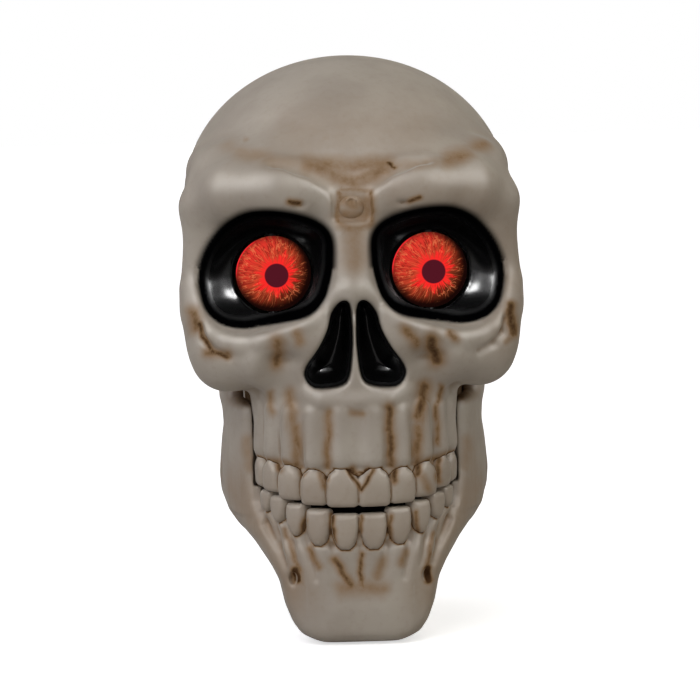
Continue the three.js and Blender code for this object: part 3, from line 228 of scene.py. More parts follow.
def block(centre, half, rounding):
    centre, half = floats(centre), floats(half)

    def distance(x, y, z):
        u, v, w = (np.abs(p - c) - h + rounding for p, c, h in zip((x, y, z), centre, half))
        outside = np.sqrt(np.maximum(u, 0) ** 2 + np.maximum(v, 0) ** 2 + np.maximum(w, 0) ** 2)
        return outside + np.minimum(np.maximum(np.maximum(u, v), w), 0) - rounding

    return Shape(distance, centre - half, centre + half)


def span(low, high, rounding=0.4):
    """A block between two corners."""
    low, high = floats(low), floats(high)
    return block((low + high) / 2, (high - low) / 2, rounding)


def outline_distance(outline, u, v):
    """Signed distance in the plane to a closed outline, negative inside."""
    corners = floats(outline)
    nearest = np.full(np.broadcast(u, v).shape, 1e9, np.float32)
    inside = np.zeros(nearest.shape, bool)
    for (u0, v0), (u1, v1) in zip(corners, np.roll(corners, -1, axis=0)):
        du, dv = u1 - u0, v1 - v0
        share = np.clip(((u - u0) * du + (v - v0) * dv) / (du * du + dv * dv), 0, 1)
        nearest = np.minimum(nearest, (u - u0 - du * share) ** 2 + (v - v0 - dv * share) ** 2)
        if dv != 0:
            inside ^= ((v0 > v) != (v1 > v)) & (u < u0 + du * (v - v0) / dv)
    return np.where(inside, -1, 1) * np.sqrt(nearest)


def curved(points, steps=5):
    """A closed curve through the points of an outline."""
    p = np.array(points, float)
    before, after, later = np.roll(p, 1, axis=0), np.roll(p, -1, axis=0), np.roll(p, -2, axis=0)
    rows = []
    for t in np.arange(steps) / steps:
        rows.append(0.5 * (2 * p + (after - before) * t + (2 * before - 5 * p + 4 * after - later) * t ** 2
                           + (3 * p - before - 3 * after + later) * t ** 3))
    return np.stack(rows, axis=1).reshape(-1, 2)


def mirrored(half):
    return list(half) + [(-u, v) for u, v in reversed(half)]


class Sculpt:
    """A distance field on points with x >= 0, shaped by joining and cutting forms near where they are."""

    def __init__(self, half_width, y_range, z_range, step):
        self.step = step
        self.axes = [np.arange(step / 2, half_width, step, dtype=np.float32),
                     np.arange(*y_range, step, dtype=np.float32), np.arange(*z_range, step, dtype=np.float32)]
        self.field = np.full([len(axis) for axis in self.axes], FAR, np.float32)

    def points(self, cuts=(slice(None),) * 3):
        x, y, z = (axis[cut] for axis, cut in zip(self.axes, cuts))
        return x[:, None, None], y[None, :, None], z[None, None, :]

    def window(self, shape, margin):
        ends = zip(self.axes, shape.low - margin, shape.high + margin)
        return tuple(slice(*np.searchsorted(axis, (low, high))) for axis, low, high in ends)

    def add(self, shape, blend=0.0):
        cuts = self.window(shape, blend + MARGIN)
        self.field[cuts] = smooth_min(self.field[cuts], shape.distance(*self.points(cuts)), blend)
        return self

    def cut(self, shape, blend=0.0, grow=0.0):
        cuts = self.window(shape, blend + grow + MARGIN)
        self.field[cuts] = smooth_max(self.field[cuts], grow - shape.distance(*self.points(cuts)), blend)
        return self

    def add_chain(self, points, radius, blend):
        for start, end in zip(points, points[1:]):
            self.add(capsule(start, end, radius), blend)
        return self

    def cut_chain(self, points, radius, blend):
        for start, end in zip(points, points[1:]):
            self.cut(capsule(start, end, radius), blend)
        return self

    def soften(self, reach):
        self.field = box_blur(self.field, max(1, round(reach / self.step)))
        return self

    def copy(self):
        twin = object.__new__(Sculpt)
        twin.step, twin.axes, twin.field = self.step, self.axes, self.field.copy()
        return twin


def box_blur(values, reach):
    """Mean over a cube of neighbours; the first axis is mirrored at its start."""
    for axis in range(3):
        pad = [(0, 0)] * 3
        pad[axis] = (reach + 1, reach)
        padded = np.pad(values, pad, mode="symmetric" if axis == 0 else "edge")
        total = np.cumsum(padded, axis=axis, dtype=np.float64)
        upper = np.take(total, np.arange(2 * reach + 1, total.shape[axis]), axis=axis)
        lower = np.take(total, np.arange(0, total.shape[axis] - 2 * reach - 1), axis=axis)
        values = ((upper - lower) / (2 * reach + 1)).astype(np.float32)
    return values


# Meshes from fields

CORNERS = [(i, j, k) for i in (0, 1) for j in (0, 1) for k in (0, 1)]
CELL_EDGES = [(a, b) for a in CORNERS for b in CORNERS
              if sum(b) - sum(a) == 1 and all(q >= p for p, q in zip(a, b))]


def surface_net(field):
    """Points (in grid steps) and four-sided faces of the surface where the field is zero."""
    inside = field < 0
    size = np.array(field.shape) - 1
    view = {c: inside[c[0]:c[0] + size[0], c[1]:c[1] + size[1], c[2]:c[2] + size[2]] for c in CORNERS}
    filled = sum(view[c].astype(np.int8) for c in CORNERS)
    cells = np.argwhere((filled > 0) & (filled < 8))
    number = np.full(size, -1, np.int32)
    number[tuple(cells.T)] = np.arange(len(cells))
    value = {c: field[tuple((cells + c).T)] for c in CORNERS}
    total = np.zeros((len(cells), 3), np.float32)
    count = np.zeros(len(cells), np.float32)
    for a, b in CELL_EDGES:
        crossed = (value[a] < 0) != (value[b] < 0)
        share = np.where(crossed, value[a] / np.where(crossed, value[a] - value[b], 1), 0)
        total += np.where(crossed[:, None], np.array(a) + share[:, None] * (np.array(b) - np.array(a)), 0)
        count += crossed
    points = cells + total / count[:, None]
    faces = [crossing_faces(inside, number, axis) for axis in range(3)]
    return points.astype(np.float32), np.concatenate(faces)


def crossing_faces(inside, number, axis):
    """One face round each grid edge along an axis that passes through the surface."""
    shifted = np.take(inside, np.arange(1, inside.shape[axis]), axis=axis)
    here = np.take(inside, np.arange(inside.shape[axis] - 1), axis=axis)
    edges = np.argwhere(shifted != here)
    other = [(axis + 1) % 3, (axis + 2) % 3]
    keep = np.all([(edges[:, o] > 0) & (edges[:, o] < inside.shape[o] - 1) for o in other], axis=0)
    edges = edges[keep]
    corners = []
    for back in ((0, 0), (1, 0), (1, 1), (0, 1)):
        cell = edges.copy()
        cell[:, other[0]] -= back[0]
        cell[:, other[1]] -= back[1]
        corners.append(number[tuple(cell.T)])
    faces = np.stack(corners, axis=1)
    outward = here[tuple(edges.T)]
    faces[~outward] = faces[~outward][:, ::-1]
    return faces


def sampled(grid, points):
    """Values of a grid between its points, by straight-line mixing."""
    low = np.clip(np.floor(points).astype(int), 0, np.array(grid.shape) - 2)
    part = points - low
    total = np.zeros(len(points), np.float32)
    for corner in CORNERS:
        weight = np.prod([part[:, i] if corner[i] else 1 - part[:, i] for i in range(3)], axis=0)
        total += weight * grid[tuple((low + corner).T)]
    return total


def slope_at(field, points, reach):
    steps = np.eye(3) * reach
    return np.stack([sampled(field, points + step) - sampled(field, points - step) for step in steps], axis=1)


SETTLE_ROUNDS = 2
SETTLE_REACH = 0.4  # the longest move in one round, in grid steps
LEAST_SLOPE = 0.04


def settle(points, field):
    """Moves points onto the surface along the field's slope."""
    for _ in range(SETTLE_ROUNDS):
        value = sampled(field, points)
        slope = slope_at(field, points, 0.5)
        length = np.maximum((slope ** 2).sum(axis=1), LEAST_SLOPE)
        points = points - np.clip(value / length, -SETTLE_REACH, SETTLE_REACH)[:, None] * slope
    return points


def new_mesh(name, points, faces):
    sides = faces.shape[1]
    mesh = bpy.data.meshes.new(name)
    mesh.vertices.add(len(points))
    mesh.vertices.foreach_set("co", np.ascontiguousarray(points, np.float32).ravel())
    mesh.loops.add(faces.size)
    mesh.loops.foreach_set("vertex_index", np.ascontiguousarray(faces, np.int32).ravel())
    mesh.polygons.add(len(faces))
    mesh.polygons.foreach_set("loop_start", np.arange(0, faces.size, sides, dtype=np.int32))
    mesh.update(calc_edges=True)
    mesh.validate()
    return mesh


def new_object(name, mesh):
    obj = bpy.data.objects.new(name, mesh)
    bpy.context.scene.collection.objects.link(obj)
    mesh.shade_smooth()
    return obj


def reduced(obj, ratio):
    """Replaces the object's mesh by one with fewer faces."""
    modifier = obj.modifiers.new("reduce", "DECIMATE")
    modifier.ratio = ratio
    bpy.context.view_layer.update()
    evaluated = obj.evaluated_get(bpy.context.evaluated_depsgraph_get())
    slim = bpy.data.meshes.new_from_object(evaluated)
    obj.modifiers.clear()
    obj.data = slim
    slim.shade_smooth()
    return obj


def to_frame(points):
    """Design millimetres to metres in the shared frame."""
    return (points + floats([0, FRAME_SHIFT_Y, 0])) * MILLIMETRE


def from_frame(obj):
    """The object's points in design millimetres."""
    flat = np.empty(len(obj.data.vertices) * 3, np.float32)
    obj.data.vertices.foreach_get("co", flat)
    return flat.reshape(-1, 3) / MILLIMETRE - floats([0, FRAME_SHIFT_Y, 0])


HOLLOW_REACHES = (1.2, 2.6)


def bone_object(name, sculpt, keep_ratio):
    """A mesh of the field and its mirror image, with how hollow the surface is near each point."""
    whole = np.concatenate([sculpt.field[::-1], sculpt.field])
    points, faces = surface_net(whole)
    points = settle(points, whole)
    start = floats([-sculpt.axes[0][-1], sculpt.axes[1][0], sculpt.axes[2][0]])
    obj = new_object(name, new_mesh(name, to_frame(points * sculpt.step + start), faces))
    reduced(obj, keep_ratio)
    local = (from_frame(obj) - start) / sculpt.step
    outward = slope_at(whole, local, 0.75)
    outward /= np.maximum(np.linalg.norm(outward, axis=1, keepdims=True), 1e-6)
    obj.data.normals_split_custom_set_from_vertices(outward)
    hollow = np.zeros(len(local), np.float32)
    for reach in HOLLOW_REACHES:
        steps = max(1, round(reach / sculpt.step))
        half = box_blur(sculpt.field, steps) - sculpt.field
        hollow += sampled(np.concatenate([half[::-1], half]), local) / reach
    store(obj, "hollow", -hollow)
    return obj


def store(obj, name, values):
    attribute = obj.data.attributes.new(name, "FLOAT", "POINT")
    attribute.data.foreach_set("value", np.ascontiguousarray(values, np.float32))


# Upper skull

def arch(radius, bottom, top, rounding):
    def distance(x, y, z):
        squeeze = np.where(y > ARCH_Y, ARCH_REAR_SQUEEZE, 1)
        sideways = np.sqrt(x * x + ((y - ARCH_Y) * squeeze) ** 2) - radius + rounding
        upright = np.abs(z - (bottom + top) / 2) - (top - bottom) / 2 + rounding
        outside = np.sqrt(np.maximum(sideways, 0) ** 2 + np.maximum(upright, 0) ** 2)
        return outside + np.minimum(np.maximum(sideways, upright), 0) - rounding

    low = floats([-radius, ARCH_Y - radius, bottom])
    return Shape(distance, low, floats([radius, ARCH_Y + radius, top]))


def cranium():
    upper = ball(CRANIUM_CENTRE, (*CRANIUM_RADII, SKULL_TOP - CRANIUM_CENTRE[2]))
    lower = ball(CRANIUM_CENTRE, (*CRANIUM_RADII, CRANIUM_DROP))

    def distance(x, y, z):
        return np.where(z > CRANIUM_CENTRE[2], upper.distance(x, y, z), lower.distance(x, y, z))

    return Shape(distance, lower.low, upper.high)


UPPER_JAW = arch(UPPER_ARCH_RADIUS - 0.4, 60.5, 112, 3)
UPPER_GUM = arch(UPPER_ARCH_RADIUS - 1.8, 57.4, 75, 1.5)
MASSES = [  # centre, half size, rounding and blend of each rounded block
    ((0, 12, FLOOR_Z + 17), (RAMUS_INNER - 0.6, 43, 17), 3, 18),
    ((0, -29, 124.5), (51, 20, 30.5), 13, 10),
    ((26.5, -8, 110), (28, 31, 9.5), 7, 6),
]
RIDGES = {  # points, radius and blend of each chain
    "brow": ([(9, -58, 152), (24, -58.5, 154.5), (40, -51, 153.5), (50, -38, 149.5)], 7.2, 8),
    "temple": ([(45, -30, 160), (46.5, -18, 160)], 8, 10),
    "outer socket rim": ([(50.5, -39, 147), (52.8, -35, 122)], 5.6, 7),
    "cheek bone": ([(47.2, -40, 112), (43, -41, 96.5)], 11.2, 8),
    "lower socket rim": ([(46, -45, 100), (28, -55, 98), (15, -60, 105)], 7.5, 9),
    "nasal bones": ([(0, -57, 147), (0, -63.2, 121)], 7, 8),
    "side of nose": ([(8, -58, 134), (16, -61, 106)], 5, 8),
    "mastoid": ([(37, 37, 100), (35, 36, 88)], 7.5, 12),
    "side of upper jaw": ([(32.2, -39, 92), (31.2, -39.2, 80), (31.6, -39.9, 66)], 3.2, 4),
}
FOREHEAD_SLOPE = ball((24, -40, 158), (26, 17, 13))


def skull_mass():
    """The closed outer form of the upper skull, before any opening is cut."""
    sculpt = Sculpt(*SKULL_GRID, BONE_STEP)
    sculpt.add(cranium())
    for centre, half, rounding, blend in MASSES:
        sculpt.add(block(centre, half, rounding), blend)
    sculpt.add(UPPER_JAW, 8)
    sculpt.add(UPPER_GUM, 0.5)
    sculpt.add(FOREHEAD_SLOPE, 8)
    for points, radius, blend in RIDGES.values():
        sculpt.add_chain(points, radius, blend)
    return sculpt


def on_arch(radius, angle, z):
    return (radius * math.sin(angle), ARCH_Y - radius * math.cos(angle), z)


def tooth_angles(teeth, radius):
    """The middle angle of each tooth of one side."""
    arc = 0
    for tooth in teeth:
        yield tooth, (arc + tooth.width / 2) / radius
        arc += tooth.width


BROW_CREASE = [(5, -64.2, 156), (9.5, -63.6, 160), (17, -62.4, 163), (25, -60.5, 164.2)]
ORBIT_RIM = [(12, -66, 113.5), (16, -66.4, 110), (23.5, -64.2, 106.4), (31, -60.8, 103.6),
             (37.5, -57.2, 102.6), (43, -54.2, 103.4), (47.5, -51.8, 106), (50.5, -48.4, 110)]
NOSE_RIM = [(6.5, -63, 119), (12.5, -62, 108), (18.3, -60, 98.5), (21, -58.5, 91)]
NOSE_SILL = [(19, -60, 86.6), (11, -64.8, 83.6), (0, -67.2, 83)]
CHEEK_CREASE = [(52, -51.6, 108.5), (51, -53, 104.4), (48, -55, 100.6), (42.8, -57.2, 98)]
NASAL_TIP = [(7, -63.5, 118.5), (0, -66.2, 120.5)]
BROW_LOBE = ball((22, -56, 154.5), (17, 11, 9))
BROW_NOTCH = ball((17.2, -67.2, 149.4), (2.2, 2.2, 1.1))
SENSOR_RECESS = block((0, -69, 149.2), (6.5, 6.2, 5.6), 2)
FOREHEAD_DIP = capsule((0, -70.5, 160), (0, -66, 168), 5)
CANAL_HOLLOW = ball((25.5, -68.5, 97), (6, 8.5, 3.6))
CHEEK_HOLLOW = ball((28, -67, 86), (6.5, 9, 9))


def skull_relief(sculpt):
    """Finer forms: brow lobes, rims of the openings, hollows of the cheeks, tooth roots."""
    sculpt.add(BROW_LOBE, 4)
    sculpt.cut_chain(BROW_CREASE, 1.4, 5)
    sculpt.cut(SENSOR_RECESS, 1.4)
    sculpt.cut(FOREHEAD_DIP, 8)
    sculpt.cut(BROW_NOTCH, 1.5)
    sculpt.add_chain(ORBIT_RIM, 2.5, 3)
    sculpt.add_chain(NOSE_RIM, 2.6, 3)
    sculpt.add_chain(NOSE_SILL, 2.4, 3)
    sculpt.add_chain(NASAL_TIP, 3.8, 2.5)
    sculpt.cut(CANAL_HOLLOW, 5)
    sculpt.cut(CHEEK_HOLLOW, 7)
    sculpt.cut_chain(CHEEK_CREASE, 0.9, 2)
    tooth_roots(sculpt)
    return sculpt


def tooth_roots(sculpt):
    """Bulges over the upper teeth, with a furrow between each two that stand apart."""
    arc = 0
    for tooth, angle in tooth_angles(UPPER_TEETH, UPPER_ARCH_RADIUS):
        root = tooth.width / 2
        foot = on_arch(UPPER_ARCH_RADIUS - root + 1.3, angle, tooth.gum + root * 0.75)
        head = on_arch(UPPER_ARCH_RADIUS - root * 0.8 + 0.9, angle * 0.97, 79)
        sculpt.add(capsule(foot, head, root, root * 0.8), 1.2)
        arc += tooth.width
        between = arc / UPPER_ARCH_RADIUS
        low = on_arch(UPPER_ARCH_RADIUS + 0.6, between, tooth.gum + 1)
        high = on_arch(UPPER_ARCH_RADIUS + 1.9, between * 0.98, tooth.gum + 20)
        sculpt.cut(capsule(low, high, 2.2, 1.2), 2)


def rim_share(outline, x, z):
    """How far each place lies from the middle of a socket towards its rim, and how far off that rim is."""
    corners = outline - SOCKET_CENTRE
    along = np.arctan2(corners[:, 1], corners[:, 0])
    across, up = x - SOCKET_CENTRE[0], z - SOCKET_CENTRE[1]
    rim = np.interp(np.arctan2(up, across), *sorted_pair(along, np.hypot(*corners.T)), period=math.tau)
    return np.clip(np.hypot(across, up) / rim, 0, 1), rim


def sorted_pair(keys, values):
    order = np.argsort(keys)
    return keys[order], values[order]


def socket():
    """A smooth bowl behind a rim that runs back on its outer half."""
    outline = curved(SOCKET_OUTLINE)

    def distance(x, y, z):
        edge = outline_distance(outline, x[:, 0, :], z[:, 0, :])[:, None, :]
        share, rim = (part[:, None, :] for part in rim_share(outline, x[:, 0, :], z[:, 0, :]))
        outer_half = np.clip((x - SOCKET_CENTRE[0]) / (SOCKET_OUTER_X - SOCKET_CENTRE[0]), 0, 1)
        rim_y = SOCKET_RIM_Y + SOCKET_RIM_SWEEP * outer_half ** 2
        depth = SOCKET_BOTTOM_Y - rim_y
        floor = rim_y + depth * (1 - share ** SOCKET_FLATNESS)
        steepness = depth * SOCKET_FLATNESS * share ** (SOCKET_FLATNESS - 1) / rim
        return smooth_max(edge, (y - floor) / np.sqrt(1 + steepness ** 2), 2)

    low = floats([5, -75, 104])
    return Shape(distance, low, floats([53, -34, 149]))


def nose():
    """Two hollows beside the septum, deepest away from their edges."""
    outline = curved(NOSE_OUTLINE, NOSE_CURVE_STEPS)

    def distance(x, y, z):
        edge = outline_distance(outline, x[:, 0, :], z[:, 0, :])[:, None, :]
        floor = NOSE_BACK - NOSE_SLOPE * np.clip(1 + edge / NOSE_REACH, 0, 1) ** 2
        return smooth_max(edge, (y - floor) * 0.6, 2)

    return Shape(distance, floats([1, -75, 85]), floats([19, NOSE_BACK, 119]))


def ramus_pocket():
    """Room in which the branch of the jaw swings beside the skull base."""
    low = (RAMUS_INNER - SEAM_GAP, -24, 30)
    high = (RAMUS_OUTER + SEAM_GAP, HINGE_Y + CONDYLE_RADIUS + 1, HINGE_Z + CONDYLE_RADIUS + 1)
    return span(low, high, 1)


def drill_y(x, z, y_from, y_to, radius):
    return capsule((x, y_from, z), (x, y_to, z), radius)


FLOOR_PAD = span((-9, 1, FLOOR_Z - 5), (17, SEAM_Y, FLOOR_Z + 4))  # over the toothed sector


def skull_shell():
    """The hollow upper skull with all its openings, both halves together."""
    sculpt = skull_relief(skull_mass())
    inside = sculpt.copy()
    inside.field += WALL
    for lined in (socket(), nose(), ramus_pocket()):
        inside.cut(lined, 0, WALL)
    inside.cut(FLOOR_PAD, 0)
    sculpt.cut(socket(), 3)
    sculpt.cut(nose(), 2)
    sculpt.field = np.maximum(sculpt.field, -inside.field)
    sculpt.cut(ramus_pocket(), 0.6)
    sculpt.cut(drill_y(EYE_X, EYE_Z, *EYE_HOLE, EYE_RADIUS + EYE_CLEARANCE), 0.6)
    for x, z in SHELL_SCREWS:
        sculpt.cut(drill_y(x, z, SEAM_Y + 7, BACK_Y, SHELL_SCREW_RADIUS), 0.4)
    for ring, count in GRILLE_RINGS:
        for i in range(count):
            angle = math.tau * i / count
            x, z = ring * math.cos(angle), SPEAKER_Z + ring * math.sin(angle)
            sculpt.cut(drill_y(x, z, GRILLE_INNER_Y, BACK_Y, GRILLE_HOLE_RADIUS), 0.3)
    return sculpt


def skull_half(name, sculpt, y_from, y_to, keep_ratio):
    """The part of the upper skull between two upright planes."""
    part = sculpt.copy()
    x, y, z = part.points()
    part.field = smooth_max(part.field, np.maximum(y - y_to, y_from - y), 0.5)
    rows = np.flatnonzero((part.axes[1] > y_from - 3) & (part.axes[1] < y_to + 3))
    keep = slice(rows[0], rows[-1] + 1)
    part.axes = [part.axes[0], part.axes[1][keep], part.axes[2]]
    part.field = np.ascontiguousarray(part.field[:, keep])
    return bone_object(name, part, keep_ratio)


# Lower jaw

# Outlines of the jaw: x and z from the front, x and y from above, y and z from the side
JAW_FRONT_VIEW = [(12.5, 0), (20.3, 3.4), (23.2, 7.3), (25.6, 13), (27.4, 21), (30, 25.7), (35.5, 33),
                  (39.9, 37.2), (43.9, 41.7), (46.5, 48), (47.1, 54), (45.9, 65), (44.9, 71), (45.3, 77),
                  (RAMUS_OUTER, 82), (RAMUS_OUTER, 130)]
JAW_PLAN = [(8, -68.4), (17, -64.5), (25, -58), (31, -50), (38, -36), (44, -22), (49, -8), (49, 60)]
JAW_SIDE_VIEW = [(-57, 0), (-64, 0), (-67, 4), (-68.6, 12), (-67.3, 22), (-67, 34), (-55, 35.5),
                 (-46, 40), (-40, 47), (-37.4, 56), (-36.8, 68), (-36.8, 77), (-35.6, 80.4), (-31, 81.6),
                 (-24, 82), (-19, 88), (-14, 90), (-6, 82), (5.4, 90), (22.6, 90), (20, 75), (14, 55),
                 (6, 44), (-20, 26), (-42, 10), (-50, 3)]
CHIN_FLOOR = 3
RAMUS_FRONT_EDGE = 35.4
UPPER_JAW_LOW = 52.1
RAMUS_FILLS = [  # two corners of each block that thickens a branch
    ((RAMUS_FRONT_EDGE, -42, 42), (RAMUS_OUTER, -18, FLOOR_Z - 4)),
    ((RAMUS_INNER, -42, 42), (RAMUS_OUTER, -8, HINGE_Z + 3)),
    ((26, -23, 30), (RAMUS_OUTER, -17, FLOOR_Z - 3)),
    ((16.3, -23, 30), (RAMUS_OUTER, -17, 56)),
    ((34.4, -33, 42), (RAMUS_OUTER, -17, 64)),
    ((35.2, -44, 60), (RAMUS_OUTER, -34.6, 81)),
    ((31.5, -28.4, 42), (RAMUS_OUTER, -25, 73.4)),
]
RAMUS_BLEND = 0.8
SKULL_BASE_ROOM = span((-RAMUS_INNER, -24, 40), (RAMUS_INNER, 40, 130))
UPPER_JAW_ROOM = span((-RAMUS_FRONT_EDGE, -80, UPPER_JAW_LOW), (RAMUS_FRONT_EDGE, 40, 130))


def jaw_shell():
    """Where three outlines of the jaw overlap, hollowed, with its branches filled out."""
    sculpt = Sculpt(*JAW_GRID, JAW_STEP)
    x, y, z = sculpt.points()
    front = outline_distance(mirrored(JAW_FRONT_VIEW), x[:, 0, :], z[:, 0, :])[:, None, :]
    plan = outline_distance(mirrored(JAW_PLAN), x[:, :, 0], y[:, :, 0])[:, :, None]
    side = outline_distance(JAW_SIDE_VIEW, y[0], z[0])[None]
    condyle = np.sqrt((y - HINGE_Y) ** 2 + (z - HINGE_Z) ** 2) - CONDYLE_RADIUS
    outer = smooth_max(smooth_max(front, plan, 4), smooth_min(side, condyle, 3), 3)
    hollow = np.maximum(np.maximum(front, plan) + JAW_WALL, CHIN_FLOOR - z)
    sculpt.field = outer
    sculpt.soften(1.0)
    whole = sculpt.copy()
    sculpt.field = smooth_max(sculpt.field, -hollow, 1)
    sculpt.cut(SKULL_BASE_ROOM, 1)
    sculpt.cut(UPPER_JAW_ROOM, 1)
    for corners in RAMUS_FILLS:
        filling = np.maximum(span(*corners, 2).distance(x, y, z), whole.field)
        sculpt.field = smooth_min(sculpt.field, filling, RAMUS_BLEND)
    jaw_relief(sculpt)
    return sculpt


GUM_INSET = 0.6
GUM_RISE = 0.6
GUM_BACK_Y = -42


def gum_room(teeth, radius):
    """The room round a row of lower crowns, from their gum line up."""
    angles, gums = zip(*[(angle, tooth.gum) for tooth, angle in tooth_angles(teeth, radius)])

    def distance(x, y, z):
        around = np.interp(np.arctan2(x, np.minimum(y - ARCH_Y, 0) * -1), angles, gums)
        outside = radius - GUM_INSET - np.hypot(x, y - ARCH_Y)
        return np.maximum(np.maximum(outside, around + GUM_RISE - z), y - GUM_BACK_Y)

    return Shape(distance, floats([0, -75, 30]), floats([48, GUM_BACK_Y, 56]))


def tooth_backing():
    """A low wall of bone that closes the gaps between the lower crowns from behind."""
    outer = arch(LOWER_ARCH_RADIUS - 1.8, 28, 42, 1)
    inner = arch(LOWER_ARCH_RADIUS - TOOTH_DEPTH, 20, 50, 1)

    def distance(x, y, z):
        return np.maximum(np.maximum(outer.distance(x, y, z), -inner.distance(x, y, z)), y - ARCH_Y)

    return Shape(distance, outer.low, outer.high)


JAW_FURROW = [(31.7, -46, 40), (28.2, -54, 33.4), (25.9, -57.6, 27)]
NERVE_HOLE = ball((22.8, -60.6, 22.6), (1.5, 4, 2.5))


def jaw_relief(sculpt):
    """Gum line, tooth roots with slits between them, and the two small nerve holes."""
    for tooth, angle in tooth_angles(LOWER_TEETH, LOWER_ARCH_RADIUS):
        root = tooth.width / 2
        foot = on_arch(LOWER_ARCH_RADIUS - root - 0.2, angle, tooth.gum)
        tip = on_arch(LOWER_ARCH_RADIUS - root + 0.5, angle * 0.78, tooth.gum - 13)
        sculpt.add(capsule(foot, tip, root, root * 0.5), 1.6)
    sculpt.cut(gum_room(LOWER_TEETH, LOWER_ARCH_RADIUS), 1.5)
    sculpt.add(tooth_backing())
    for (tooth, angle), following in zip(tooth_angles(LOWER_TEETH, LOWER_ARCH_RADIUS), LOWER_TEETH[1:]):
        between = angle + tooth.width / 2 / LOWER_ARCH_RADIUS
        top = on_arch(LOWER_ARCH_RADIUS + 0.2, between, following.gum + 1)
        end = on_arch(LOWER_ARCH_RADIUS + 1.1, between * 0.8, following.gum - 14)
        sculpt.cut(capsule(top, end, 1.9, 0.7), 1.8)
    sculpt.cut_chain(JAW_FURROW, 1.3, 2)
    sculpt.cut(NERVE_HOLE, 1.2)


# Teeth

def upper_crown(tooth, half, length):
    """Half outline of an upper crown from its edge to the gum."""
    edge, gum = tooth.edge, tooth.gum
    return [(half - 1.5, edge), (half - 0.35, edge + 0.7), (half + 0.05, edge + 0.3 * length),
            (half - 0.3, edge + 0.7 * length), (half - 1.2, edge + 0.88 * length),
            (half - 3, gum), (half - 3.2, gum + 1.5)]


def lower_crown(tooth, half, length):
    """Half outline of a lower crown, which tapers to a round end."""
    edge = tooth.edge
    return [(half - 1.3, edge), (half - 0.4, edge - 0.7), (half - 0.2, edge - 0.35 * length),
            (half - 0.9, edge - 0.65 * length), (half - 2, edge - 0.87 * length), (half - 3.6, tooth.gum)]


BOW_ACROSS = 0.03  # how fast a crown falls back from its fullest place, per millimetre squared
BOW_TO_EDGE = 0.012
BOW_TO_GUM = 0.03


def tooth_shape(tooth, angle, radius, crown):
    """One crown, bowed in front, standing on the arch at an angle."""
    to_gum = math.copysign(1, tooth.gum - tooth.edge)
    length = abs(tooth.gum - tooth.edge)
    outline = mirrored(crown(tooth, tooth.width / 2, length))
    fullest = tooth.edge + 0.55 * length * to_gum
    out = (math.sin(angle), -math.cos(angle))

    def distance(x, y, z):
        across = x * -out[1] + (y - ARCH_Y) * out[0]
        outward = x * out[0] + (y - ARCH_Y) * out[1]
        face = outline_distance(outline, across, z)
        bend = np.where((z - fullest) * to_gum > 0, BOW_TO_GUM, BOW_TO_EDGE)
        bow = radius - BOW_ACROSS * across ** 2 - bend * (z - fullest) ** 2
        return smooth_max(face, np.maximum(outward - bow, radius - TOOTH_DEPTH - outward), 2.2)

    centre = floats(on_arch(radius - TOOTH_DEPTH / 2, angle, (tooth.edge + tooth.gum) / 2))
    reach = floats([8, 8, length / 2 + 4])
    return Shape(distance, centre - reach, centre + reach)


def crowns(teeth, radius, crown):
    """The shapes of one side of a row of crowns."""
    face = radius + CROWN_PROUD
    return [tooth_shape(tooth, angle, face, crown) for tooth, angle in tooth_angles(teeth, radius)]


UPPER_CROWNS = crowns(UPPER_TEETH, UPPER_ARCH_RADIUS, upper_crown)
LOWER_CROWNS = crowns(LOWER_TEETH, LOWER_ARCH_RADIUS, lower_crown)
NOTCH_RADIUS = UPPER_ARCH_RADIUS + 0.8
GUM_NOTCH = capsule(on_arch(NOTCH_RADIUS, 0, 53), on_arch(NOTCH_RADIUS, 0, 60.5), 0.4, 4.4)


def tooth_row(name, shapes, grid, cuts=()):
    sculpt = Sculpt(*grid, TOOTH_STEP)
    for shape in shapes:
        sculpt.add(shape, 0)
    for shape in cuts:
        sculpt.cut(shape, 0.6)
    obj = bone_object(name, sculpt, SMALL_KEEP)
    paint_bone(obj, TOOTH_STAINS.values())
    return obj


# Paint, as soft strokes drawn on the picture in its pixels

def smoothstep(low, high, value):
    share = np.clip((value - low) / (high - low), 0, 1)
    return share * share * (3 - 2 * share)


def band(rise, fall, value):
    """1 between two soft edges, each given by where it starts and ends."""
    return smoothstep(*rise, value) * (1 - smoothstep(*fall, value))


STROKE_SOFTNESS = 0.72


def stroke(u, v, line, radius):
    """How strongly a soft brush stroke along a line covers each place."""
    cover = np.zeros_like(u)
    for (u0, v0), (u1, v1) in zip(line, line[1:] or line):
        du, dv = u1 - u0, v1 - v0
        share = np.clip(((u - u0) * du + (v - v0) * dv) / max(du * du + dv * dv, 1e-6), 0, 1)
        gap = np.hypot(u - u0 - du * share, v - v0 - dv * share)
        cover = np.maximum(cover, np.exp(-(gap / radius / STROKE_SOFTNESS) ** 2))
    return cover


def unsteady(u, v):
    """Places shifted by a pixel or two, so that no stroke has a straight edge."""
    across = u + 0.8 * np.sin(0.19 * v + 0.07 * u) + 0.4 * np.sin(0.53 * v)
    down = v + 0.8 * np.sin(0.17 * u + 0.09 * v)
    return across, down


